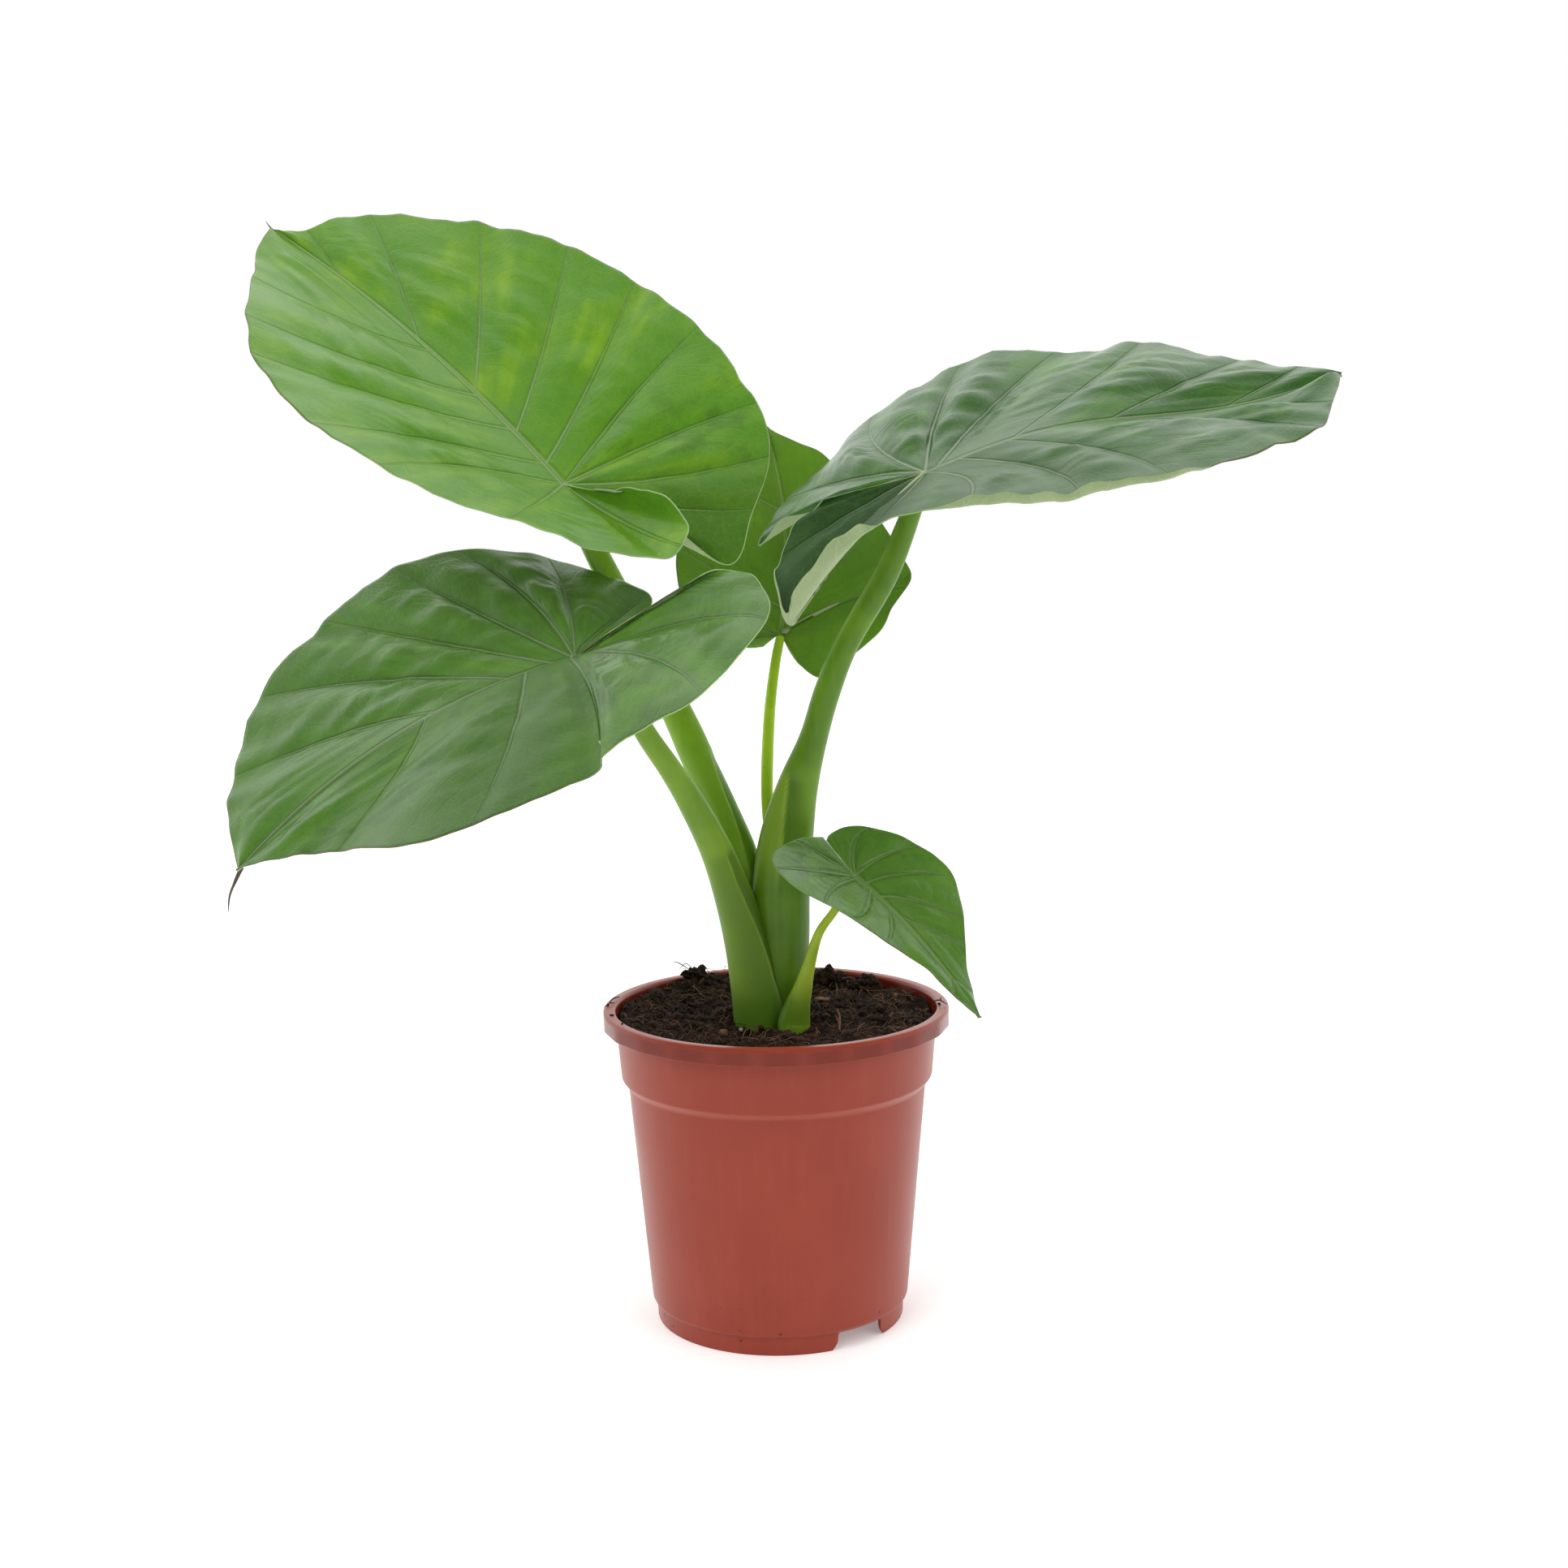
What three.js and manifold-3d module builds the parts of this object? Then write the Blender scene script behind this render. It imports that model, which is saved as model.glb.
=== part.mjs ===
// A potted alocasia: five arrow-shaped leaves on sheathed stalks, a corm with
// its roots in peat soil, and a plain nursery pot.
// Millimetres, +Z up. The origin is the centre of the pot's underside, and the
// front of the plant looks along -Y.
import * as THREE from 'three';
import { mergeVertices } from 'three/addons/utils/BufferGeometryUtils.js';
import Module from 'manifold-3d';

const wasm = await Module();
wasm.setup();

// ---- Driving dimensions -------------------------------------------------

const gap = 0.3; // clearance between pieces that touch

// Pot: the outer radius at each height, from the foot to the rim.
const potHeight = 156;
const wall = 1.4;
const footRadius = 61.2;
const footHeight = 8.6;
const bodyBottomRadius = 63.6;
const bodyTopRadius = 72.8;
const stepBottom = 113;
const stepTop = 119.5;
const collarBottomRadius = 75.7;
const collarTopRadius = 77.8;
const rimRadius = 85;
const rimInnerRadius = 79;
const skirtHeight = 9.5;
const crestRound = 1.6;
const potSegments = 48;

// Pot base: a standing disc, a raised drain channel with holes, and a foot
// ring with two drain notches.
const discRadius = 26;
const channelHeight = 9;
const baseThickness = 1.5;
const drainHoleCount = 8;
const drainHoleRadius = 4.5;
const drainHoleCircle = 46;
const notchCentre = THREE.MathUtils.degToRad(-51);
const notchWidth = 28;
const notchDepth = 12;
const notchHeight = 8.8;

// Soil: its level, and how far lumps stand out of it.
const soilLevel = 147;
const soilRelief = 2.2;

// Corm and roots in the soil.
const cormCentre = [-1, -1];
const cormTop = 127;
const cormBottom = 84;
const cormRadius = 17;
const rootCount = 7;
const rootReach = 48;
const rootDrop = 62;

// Leaf blades.
const bladeThickness = 0.9;
const midribDepth = 1.6; // how far the midrib stands out under the blade
const veinDepth = 0.5;
const quilting = 1.6; // how far the blade swells between two veins
const quiltSpacing = 16; // the swelling is less where the veins are closer than this
const rowsAcross = 6; // grid rows from midrib to margin
const stepsPerVein = 2; // grid columns from one vein to the next

// Stalks: each station is [x, y, z, radius across, radius front to back].
const stalkSides = 12;
const stalkSteps = 18;

const leafGreen = 0x4f8a2c;
const stalkGreen = 0x6f9a35;

// Every leaf lies in its own frame: the origin is where the stalk meets the
// blade, forward runs to the tip, and side and up are square to it. heading
// and pitch aim forward, and roll turns the blade about it. Both halves start
// their first veins at the same shares of the midrib (0 at the stalk, 1 at
// the tip) and the rest at the stalk. Each vein is [forward, side, up, bow]:
// where it meets the margin, and how far its middle bows towards the tip.
// The last one is the edge of the notch between the lobes.
const leaves = {
  upper_left: {
    at: [-100, 30, 411],
    heading: 139, pitch: 32, roll: -20.5,
    length: 264, arch: 6, sway: -4, dip: 0,
    shares: [0.75, 0.49, 0.3, 0.16, 0.06],
    left: {
      curl: 1.2, ripple: 1.5,
      veins: [
        [248, 18, 3, -3], [221, 37, 10, -6], [169, 72, 24, -5], [126, 94, 31, -3], [64, 102, 34, 2],
        [22, 91, 31, 6], [-10, 75, 28, 4], [-35, 59, 26, 0], [-63, 42, 24, 0], [-82, 22, 23, 0],
        [-92, 10, 26, 0], [-90, 1, 31, 0], [-79, -4, 33, 0],
      ],
    },
    right: {
      curl: 1.2, ripple: 1.5,
      veins: [
        [246, 11, 5, -4], [234, 43, 14, -8], [181, 78, 26, -3], [130, 98, 33, -3], [84, 107, 36, -4],
        [38, 108, 37, 3], [-29, 95, 32, 5], [-59, 79, 26, -8], [-79, 54, 17, -14], [-95, 30, 7, -8],
        [-88, 22, 6, -4], [-76, 14, 12, 0],
      ],
    },
  },
  lower_left: {
    at: [-91, -35, 331],
    heading: -165, pitch: -30, roll: -33.5,
    length: 181, arch: 15, sway: -4, dip: 0,
    shares: [0.72, 0.4, 0.17, 0.05],
    left: {
      curl: 1.2, ripple: 1.5,
      veins: [
        [165, 16, 9, 0], [138, 40, 19, 0], [107, 82, 36, 4], [35, 106, 37, 5], [17, 97, 37, 2],
        [-25, 98, 34, 6], [-49, 88, 32, 4], [-75, 72, 26, 2], [-84, 45, 22, 0], [-79, 29, 20, 0],
        [-65, 20, 19, 0], [-48, 13, 11, 0], [-40, 9, 8, 0],
      ],
    },
    right: {
      curl: 1.2, ripple: 1.5,
      veins: [
        [173, 29, 2, 2], [164, 49, 4, 6], [132, 90, 6, 6], [86, 108, 8, 2], [44, 118, 8, 3],
        [13, 108, 4, -6], [-17, 81, -3, -6], [-34, 62, -9, -6], [-44, 38, -12, -4], [-50, 22, -14, 0],
        [-38, 14, -9, 0],
      ],
    },
  },
  right: {
    at: [74, -15, 414],
    heading: 8.5, pitch: 12, roll: 22,
    length: 209, arch: 3, sway: 0, dip: 5,
    shares: [0.72, 0.44, 0.21, 0.05],
    left: {
      curl: 1.5, ripple: 1.5,
      veins: [
        [197, 21, 0, 0], [177, 47, 0, -4], [140, 86, 2, -2], [113, 100, 1, 4], [66, 116, 4, 8],
        [-5, 96, -10, 4], [-28, 81, -17, 0], [-57, 58, -24, -4], [-76, 35, -29, -6], [-79, 29, -30, -4],
        [-67, 21, -18, -2], [-50, 13, -12.5, 0],
      ],
    },
    right: {
      curl: 3.5, ripple: 1,
      veins: [
        [189, 33, 2, 0], [166, 64, 6, -3], [88, 103, 20, 0], [31, 105, 23, 0], [-7, 95, 38, 0],
        [-29, 90, 36, -2], [-48, 93, 27, -3], [-62, 84, 21, -5], [-80, 78, 8, -8], [-91, 75, -10, -8],
        [-88, 60, -10, -6], [-80, 34, -10, -4], [-67, 14, -6, -2], [-52, 8, -2, 0],
      ],
    },
  },
  back: {
    at: [5, 60, 334],
    heading: 100, pitch: 62, roll: -6,
    length: 133, arch: 4, sway: -8, dip: 0,
    shares: [0.75, 0.5, 0.27, 0.1],
    left: {
      curl: 1.5, ripple: 1,
      veins: [
        [121, 17, 3, -2], [97, 32, 6, -3], [70, 42, 9, -2], [48, 48, 10, 0], [36, 50, 10, 0],
        [21, 49, 8, 2], [8, 42, 5, 0], [-1, 32, 2, 0], [-5, 20, -1, 0], [-5, 9, -3, 0],
      ],
    },
    right: {
      curl: 1.5, ripple: 1,
      veins: [
        [115, 6, 3, -2], [95, 33, 7, -4], [61, 54, 8, -2], [35, 65, 10, 0], [21, 68, 10, 2],
        [7, 56, 8, 0], [-5, 43, 6, -2], [-21, 28, 3, -4], [-25, 18, -2, -6], [-19, 9, 0, -1],
        [-10, 4, 0, 0],
      ],
    },
  },
  small: {
    at: [38.6, -30, 225],
    heading: -14.7, pitch: -48, roll: 41,
    length: 89, arch: 6, sway: 0, dip: 0,
    shares: [0.75, 0.45, 0.2, 0.07],
    left: {
      curl: 1.3, ripple: 0.7,
      veins: [
        [78, 6, 1, 0], [67, 12, 3, -1], [53, 23, 5, -1], [33, 38, 6, -1], [17, 38, 6, 2],
        [-9, 25, 5, 2], [-20, 14, 3, -3], [-23, 5, 1, -1], [-22, 0.5, 0, 0],
      ],
    },
    right: {
      curl: 1.3, ripple: 0.7,
      veins: [
        [74, 5, 3, 0], [51, 11, 9, -1], [28, 21, 14, 0], [7, 30, 17, 0], [-3, 35, 18, -1],
        [-19, 41, 18, -4], [-30, 38, 15, -4], [-33, 28, 11, -3], [-30, 14, 7, -1], [-24, 1, 3, 0],
      ],
    },
  },
};

// Stalks from the corm up to each blade. The lower part of each is the sheath
// that wraps the younger stalks, so it is wide and oval.
const stalks = {
  upper_left: [
    [-8, 9, 127.4, 9, 8], [-9, 10, 146, 10, 9], [-9, 10, 172, 10, 9], [-11, 9, 203, 9, 8.6],
    [-15, 8, 227, 8, 8], [-23, 10, 247, 8, 8], [-37, 14, 278, 8.2, 7.8], [-44, 17, 294, 7.8, 7.4],
    [-61, 22, 330, 6.5, 6.5], [-83, 27, 374, 6, 6], [-98.5, 30, 408, 4.6, 4.6],
  ],
  lower_left: [
    [-7, -7, 127.4, 11, 10.5], [-8, -8, 146, 12.5, 12], [-8.7, -8, 161, 12.7, 12],
    [-12.5, -8, 185, 11.6, 11], [-19, -10, 210, 9.6, 9.4], [-27.4, -13, 235, 7.8, 8],
    [-38.5, -18, 259, 6.6, 6.6], [-48, -23, 276, 5.6, 5.6], [-58, -27, 292, 5.2, 5.2],
    [-69, -31, 311, 4.8, 4.8], [-88, -35, 329, 3.8, 3.8],
  ],
  right: [
    [1, 1, 127.4, 11, 10], [2, -1, 146, 12.5, 11], [3, -2, 170, 13, 11.5], [3.5, -2, 192, 13.5, 11.5],
    [3.5, -2, 216, 14, 11], [6.5, -2, 240, 13, 10], [12, -3, 264, 10, 8], [20, -4, 288, 6.9, 6.9],
    [27, -6, 311, 6.4, 6.4], [37, -8, 335, 5.9, 5.9], [56.6, -11, 369, 5.8, 5.8], [73, -15, 411, 4, 4],
  ],
  back: [
    [1, 2, 127.4, 2.8, 2.8], [1, 2, 150, 3, 3], [1, 2, 190, 3, 3], [-0.5, 5, 226, 2.9, 2.9],
    [-2.5, 9, 250, 2.9, 2.9], [-2.7, 16, 267, 3, 3], [-1.5, 29, 290, 2.9, 2.9], [0, 38, 305, 2.7, 2.7],
    [2.5, 49, 321, 2.5, 2.5], [5, 59, 332, 2.2, 2.2],
  ],
  small: [
    [7, -15, 127.4, 6, 5], [8.5, -21, 146, 7.5, 7], [8.6, -21, 152, 7.8, 7], [10.5, -21.5, 161, 6.2, 6],
    [13, -22.5, 169, 4.6, 4.4], [16, -24, 180.5, 3.1, 3.1], [21, -27, 197, 2.2, 2.2], [29, -29, 209, 2, 2],
    [37, -30, 223, 1.8, 1.8],
  ],
};

// ---- Materials ------------------------------------------------------------

function finish(color, roughness) {
  return new THREE.MeshStandardMaterial({ color, roughness, metalness: 0 });
}

const potPlastic = finish(0xa84f3f, 0.4);
const peat = finish(0x2c1d15, 0.95);
const cormSkin = finish(0x7d6a48, 0.8);
const bladeSkin = finish(leafGreen, 0.4);
const stalkSkin = finish(stalkGreen, 0.45);

// ---- From geometry to solids and back ----------------------------------

function toSolid(geometry) {
  const bare = geometry.index ? geometry.clone() : geometry;
  bare.deleteAttribute('normal');
  bare.deleteAttribute('uv');
  const merged = mergeVertices(bare, 1e-3);
  return new wasm.Manifold(new wasm.Mesh({
    numProp: 3,
    vertProperties: new Float32Array(merged.attributes.position.array),
    triVerts: new Uint32Array(merged.index.array),
  }));
}

function toMesh(solid, name, material) {
  const { vertProperties, triVerts } = solid.getMesh();
  const geometry = new THREE.BufferGeometry();
  geometry.setAttribute('position', new THREE.BufferAttribute(vertProperties, 3));
  geometry.setIndex(new THREE.BufferAttribute(triVerts, 1));
  geometry.computeVertexNormals();
  const mesh = new THREE.Mesh(geometry, material);
  mesh.name = name;
  return mesh;
}

// The biggest body of a solid: a cut can leave loose slivers.
function biggest(solid) {
  return solid.decompose().sort((a, b) => b.volume() - a.volume())[0];
}

function indexed(positions, triangles) {
  const geometry = new THREE.BufferGeometry();
  geometry.setAttribute('position', new THREE.Float32BufferAttribute(positions, 3));
  geometry.setIndex(triangles);
  return geometry;
}

// A turned piece: the profile is [radius, height] and closes on itself.
function turned(profile, segments) {
  const points = profile.map(([r, z]) => new THREE.Vector2(r, z));
  const geometry = new THREE.LatheGeometry([...points, points[0]], segments);
  return geometry.rotateX(Math.PI / 2);
}

// A smooth value at share t of a list: Catmull-Rom through its entries.
function along(list, t) {
  const last = list.length - 1;
  const place = THREE.MathUtils.clamp(t, 0, 1) * last;
  const i = Math.min(Math.floor(place), last - 1);
  const f = place - i;
  const before = list[Math.max(i - 1, 0)];
  const after = list[Math.min(i + 2, last)];
  return list[i].map((p1, k) => {
    const p2 = list[i + 1][k];
    const slope1 = (p2 - before[k]) / 2;
    const slope2 = (after[k] - p1) / 2;
    const cubic = 2 * p1 - 2 * p2 + slope1 + slope2;
    const square = -3 * p1 + 3 * p2 - 2 * slope1 - slope2;
    return ((cubic * f + square) * f + slope1) * f + p1;
  });
}

// A solid of oval sections along a path of stations, swollen by grow.
function lofted(stations, sides, steps, grow = 0) {
  const positions = [];
  const triangles = [];
  const centres = [];
  for (let i = 0; i <= steps; i += 1) centres.push(along(stations, i / steps));
  centres.forEach(([x, y, z, across, deep], i) => {
    const next = centres[Math.min(i + 1, steps)];
    const last = centres[Math.max(i - 1, 0)];
    const run = new THREE.Vector3(next[0] - last[0], next[1] - last[1], next[2] - last[2]).normalize();
    const side = new THREE.Vector3(1, 0, 0).addScaledVector(run, -run.x).normalize();
    const front = new THREE.Vector3().crossVectors(run, side);
    const end = i === 0 ? -grow : Number(i === steps) * grow;
    for (let k = 0; k < sides; k += 1) {
      const angle = (k / sides) * 2 * Math.PI;
      const p = new THREE.Vector3(x, y, z).addScaledVector(run, end);
      p.addScaledVector(side, (across + grow) * Math.cos(angle));
      p.addScaledVector(front, (deep + grow) * Math.sin(angle));
      positions.push(p.x, p.y, p.z);
    }
  });
  for (let i = 0; i < steps; i += 1) {
    for (let k = 0; k < sides; k += 1) {
      const a = i * sides + k;
      const b = i * sides + ((k + 1) % sides);
      triangles.push(a, b, b + sides, a, b + sides, a + sides);
    }
  }
  for (let k = 1; k < sides - 1; k += 1) {
    const top = steps * sides;
    triangles.push(0, k + 1, k, top, top + k, top + k + 1);
  }
  return toSolid(indexed(positions, triangles));
}

// ---- Leaf blades ----------------------------------------------------------

// The midrib at share t, in the leaf's frame.
function midribAt(leaf, t) {
  const bow = 4 * t * (1 - t);
  const up = leaf.arch * bow + leaf.dip * Math.sin(2 * Math.PI * t);
  return new THREE.Vector3(leaf.length * t, leaf.sway * bow, up);
}

// The blade's middle surface: one grid for each half, sharing the midrib.
function bladeSurface(leaf) {
  const points = [];
  const ridges = [];
  const triangles = [];
  const add = (point, ridge) => {
    points.push(point);
    ridges.push(ridge);
    return points.length - 1;
  };
  const midShares = [[1], ...leaf.shares.map((share) => [share]), [0]];
  const midSteps = (midShares.length - 1) * stepsPerVein;
  const midrib = [];
  for (let c = 0; c <= midSteps; c += 1) {
    const t = THREE.MathUtils.clamp(along(midShares, c / midSteps)[0], 0, 1);
    midrib.push({ t, index: add(midribAt(leaf, t), midribDepth * (1 - t) + veinDepth) });
  }
  const margins = [];
  [['left', 1], ['right', -1]].forEach(([name, sign]) => {
    const half = leaf[name];
    const ends = [[leaf.length, 0, 0, 0], ...half.veins];
    const columns = (ends.length - 1) * stepsPerVein;
    let last = null;
    const margin = [midrib[0].index];
    for (let c = 1; c <= columns; c += 1) {
      const root = midrib[Math.min(c, midSteps)];
      const start = points[root.index];
      const [forward, side, up, bow] = along(ends, c / columns);
      const phase = c / stepsPerVein;
      const between = Math.sin(Math.PI * phase) ** 2;
      const onVein = Number(c % stepsPerVein === 0 && c < columns);
      const end = new THREE.Vector3(forward, sign * side, 0);
      const [near, next] = ends.slice(Math.min(Math.floor(phase), ends.length - 2));
      const spread = Math.hypot(next[0] - near[0], next[1] - near[1]) / quiltSpacing;
      const column = [root.index];
      for (let r = 1; r <= rowsAcross; r += 1) {
        const v = r / rowsAcross;
        const point = start.clone().setZ(0).lerp(end, v);
        point.x += 2 * bow * v * (1 - v);
        const swell = quilting * between * Math.sin(Math.PI * v) * Math.min(v * spread, 1);
        const wave = half.ripple * Math.sin(2.3 * phase + sign) * v ** 3;
        point.z = THREE.MathUtils.lerp(start.z, up, v ** half.curl) + swell + wave;
        column.push(add(point, onVein * veinDepth * (1 - v)));
      }
      const before = last ?? column.map(() => midrib[0].index);
      for (let r = 0; r < rowsAcross; r += 1) {
        const quad = [before[r], before[r + 1], column[r + 1], column[r]];
        const [p, q, s, t] = sign > 0 ? quad : [quad[0], quad[3], quad[2], quad[1]];
        if (p !== q && q !== s && p !== s) triangles.push(p, q, s);
        if (p !== s && s !== t && p !== t) triangles.push(p, s, t);
      }
      margin.push(column[rowsAcross]);
      last = column;
    }
    const inner = last.slice(1, -1).reverse();
    margins.push([...margin, ...inner, last[0]]);
  });
  const [left, right] = margins;
  const rim = [...left, ...right.slice(1, -1).reverse()];
  return { points, ridges, triangles, rim };
}

// The solid blade: the surface lifted and lowered in the same triangles, more
// where it is steep, with the ribs beneath, and closed by a strip along the rim.
function bladeSolid(leaf, grow = 0) {
  const { points, ridges, triangles, rim } = bladeSurface(leaf);
  const flat = indexed(points.flatMap((p) => [p.x, p.y, p.z]), triangles);
  flat.computeVertexNormals();
  const normals = flat.attributes.normal;
  const half = bladeThickness / 2 + grow;
  const positions = [];
  [1, -1].forEach((way) => {
    points.forEach((point, i) => {
      const lift = half / Math.max(normals.getZ(i), 0.5);
      const ridge = way > 0 ? 0 : ridges[i];
      positions.push(point.x, point.y, point.z + way * lift - ridge);
    });
  });
  const under = points.length;
  const faces = [...triangles];
  for (let i = 0; i < triangles.length; i += 3) {
    faces.push(triangles[i] + under, triangles[i + 2] + under, triangles[i + 1] + under);
  }
  rim.forEach((a, i) => {
    const b = rim[(i + 1) % rim.length];
    faces.push(b, a, a + under, b, a + under, b + under);
  });
  const geometry = indexed(positions, faces);
  geometry.applyMatrix4(leafPlace(leaf));
  return toSolid(geometry);
}

function leafPlace(leaf) {
  const turn = new THREE.Euler(
    THREE.MathUtils.degToRad(leaf.roll),
    THREE.MathUtils.degToRad(-leaf.pitch),
    THREE.MathUtils.degToRad(leaf.heading),
    'ZYX',
  );
  return new THREE.Matrix4().makeRotationFromEuler(turn).setPosition(...leaf.at);
}

// ---- Pot ------------------------------------------------------------------

function makePot() {
  const inner = (r) => r - wall;
  const profile = [
    [0, 0], [discRadius, 0], [discRadius + 4, channelHeight], [footRadius - wall - 1.5, channelHeight],
    [footRadius - wall, channelHeight - 1.5], [footRadius - wall, 0], [footRadius, 0],
    [footRadius + 0.4, footHeight], [bodyBottomRadius, footHeight + 1.5],
    [bodyTopRadius, stepBottom], [collarBottomRadius, stepTop],
    [collarTopRadius, potHeight - skirtHeight - 1],
    [rimRadius - 1, potHeight - skirtHeight], [rimRadius + 0.4, potHeight - skirtHeight + 0.6],
    [rimRadius, potHeight - crestRound], [rimRadius - crestRound, potHeight],
    [rimInnerRadius + crestRound, potHeight], [rimInnerRadius, potHeight - crestRound],
    [inner(collarTopRadius), potHeight - skirtHeight - 1], [inner(collarBottomRadius), stepTop + 0.8],
    [inner(bodyTopRadius), stepBottom + 0.5], [inner(bodyBottomRadius), channelHeight + baseThickness + 2],
    [inner(bodyBottomRadius) - 1.5, channelHeight + baseThickness],
    [discRadius + 4, channelHeight + baseThickness], [discRadius, baseThickness], [0, baseThickness],
  ];
  let pot = toSolid(turned(profile, potSegments));
  for (let i = 0; i < drainHoleCount; i += 1) {
    const angle = ((i + 0.5) / drainHoleCount) * 2 * Math.PI;
    const hole = new THREE.CylinderGeometry(drainHoleRadius, drainHoleRadius, 6, 16);
    hole.rotateX(Math.PI / 2);
    hole.translate(drainHoleCircle * Math.cos(angle), drainHoleCircle * Math.sin(angle), channelHeight);
    pot = pot.subtract(toSolid(hole));
  }
  const notch = new THREE.BoxGeometry(notchDepth, notchWidth, 2 * notchHeight);
  notch.translate(footRadius, 0, 0);
  [notchCentre, notchCentre + Math.PI].forEach((angle) => {
    pot = pot.subtract(toSolid(notch.clone().rotateZ(angle)));
  });
  return pot;
}

// ---- Soil, corm and roots ---------------------------------------------

// How far the soil's top stands above its level at a point.
function lumps(x, y) {
  const rough = Math.sin(x * 0.21 + 1) * Math.cos(y * 0.17) + 0.6 * Math.sin(x * 0.09 - y * 0.31);
  const heap = 4 * Math.exp(-((x + 36) ** 2 + (y - 60) ** 2) / 90);
  return soilRelief * rough * 0.5 + heap;
}

function makeSoil() {
  const clear = wall + gap;
  const floor = channelHeight + baseThickness + gap;
  const top = collarTopRadius - clear - 0.4;
  const profile = [
    [0, baseThickness + gap], [discRadius - 0.4, baseThickness + gap], [discRadius + 3.6, floor],
    [bodyBottomRadius - clear - 1.7, floor], [bodyBottomRadius - clear, floor + 2],
    [bodyTopRadius - clear, stepBottom], [collarBottomRadius - clear, stepTop + 1],
    [top, soilLevel - 2], [60, soilLevel], [44, soilLevel], [30, soilLevel], [16, soilLevel],
    [0, soilLevel],
  ];
  const geometry = turned(profile, potSegments);
  const position = geometry.attributes.position;
  for (let i = 0; i < position.count; i += 1) {
    const z = position.getZ(i);
    if (z > soilLevel - 3) position.setZ(i, z + lumps(position.getX(i), position.getY(i)));
  }
  return toSolid(geometry);
}

// Random numbers that are the same on every run.
function seededRandom(seed) {
  let state = seed;
  return () => {
    state = (state * 1664525 + 1013904223) % 4294967296;
    return state / 4294967296;
  };
}

function makeCorm(grow = 0) {
  const profile = [
    [0, cormBottom - grow], [8 + grow, cormBottom - grow], [cormRadius - 3 + grow, cormBottom + 9],
    [cormRadius + grow, cormBottom + 22], [cormRadius - 0.5 + grow, cormTop - 9],
    [cormRadius - 3 + grow, cormTop + grow], [0, cormTop + grow],
  ];
  let corm = toSolid(turned(profile, 16).translate(...cormCentre, 0));
  const random = seededRandom(5);
  for (let i = 0; i < rootCount; i += 1) {
    const angle = ((i + 0.6 * random()) / rootCount) * 2 * Math.PI;
    const height = cormBottom + 8 + 16 * random();
    const stations = [0.15, 0.5, 0.8, 1].map((share, k) => {
      const out = share * rootReach;
      const fall = rootDrop * share ** 2.2 * (0.8 + 0.2 * random());
      const thick = 2.4 - 0.45 * k;
      const x = cormCentre[0] + out * Math.cos(angle + 0.3 * share);
      const y = cormCentre[1] + out * Math.sin(angle + 0.3 * share);
      return [x, y, height - fall, thick, thick];
    });
    corm = corm.add(lofted(stations, 6, 7, grow));
  }
  return corm;
}

// ---- Put together -------------------------------------------------------

const plant = new THREE.Group();

const rawStalk = (name, grow = 0) => lofted(stalks[name], stalkSides, stalkSteps, grow);

// Each sheath is cut back from the stalks that it wraps.
const wraps = {
  back: [],
  right: ['back'],
  lower_left: ['right', 'back'],
  upper_left: ['lower_left', 'right', 'back'],
  small: ['lower_left', 'right'],
};

let bed = makeSoil().subtract(makeCorm(gap));
Object.entries(wraps).forEach(([name, wrapped]) => {
  const blade = bladeSolid(leaves[name]);
  let stalk = rawStalk(name).subtract(bladeSolid(leaves[name], gap)).subtract(makeCorm(gap));
  wrapped.forEach((other) => {
    stalk = stalk.subtract(rawStalk(other, gap));
  });
  bed = bed.subtract(rawStalk(name, gap));
  plant.add(toMesh(blade, `${name}_leaf_blade`, bladeSkin));
  plant.add(toMesh(biggest(stalk), `${name}_leaf_stalk`, stalkSkin));
});
plant.add(toMesh(makeCorm(), 'corm_and_roots', cormSkin));
plant.add(toMesh(biggest(bed), 'soil', peat));
plant.add(toMesh(makePot(), 'pot', potPlastic));

export default plant;
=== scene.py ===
# A potted alocasia: a moulded nursery pot, peat soil, a corm and five sheathed
# stalks with their quilted leaf blades. Sizes are millimetres, as in the part,
# and every mesh is brought to metres where it is made. The camera's place, the
# studio's floor and the lengths in materials and node trees are metres.
import math
from contextlib import contextmanager

import bmesh
import bpy
import numpy as np
from mathutils import Matrix, Vector, kdtree, noise


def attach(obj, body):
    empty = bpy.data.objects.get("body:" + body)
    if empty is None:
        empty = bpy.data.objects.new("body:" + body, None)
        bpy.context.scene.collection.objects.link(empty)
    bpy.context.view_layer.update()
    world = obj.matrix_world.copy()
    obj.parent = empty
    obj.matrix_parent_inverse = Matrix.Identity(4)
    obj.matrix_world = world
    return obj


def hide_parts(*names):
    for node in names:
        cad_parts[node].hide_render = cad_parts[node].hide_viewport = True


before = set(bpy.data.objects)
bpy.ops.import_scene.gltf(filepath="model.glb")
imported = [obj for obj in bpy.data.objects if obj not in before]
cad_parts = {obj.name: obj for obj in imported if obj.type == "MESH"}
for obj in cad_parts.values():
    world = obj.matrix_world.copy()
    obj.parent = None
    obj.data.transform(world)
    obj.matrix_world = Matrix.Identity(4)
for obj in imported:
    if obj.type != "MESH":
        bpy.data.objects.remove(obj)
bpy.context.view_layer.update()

# ---- Camera ---------------------------------------------------------------
# A normal lens about a metre in front of the pot, a little above the lower
# leaves. It looks slightly down, and is a touch out of level.
camera_place = (0.0, -1.049, 0.4143)
camera_turn = -0.302
camera_tilt = 81.92
camera_roll = -0.847
camera_lens = 50.15


def new_object(name, data):
    """A new object in the scene, at the origin."""
    made = bpy.data.objects.new(name, data)
    bpy.context.scene.collection.objects.link(made)
    return made


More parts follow.
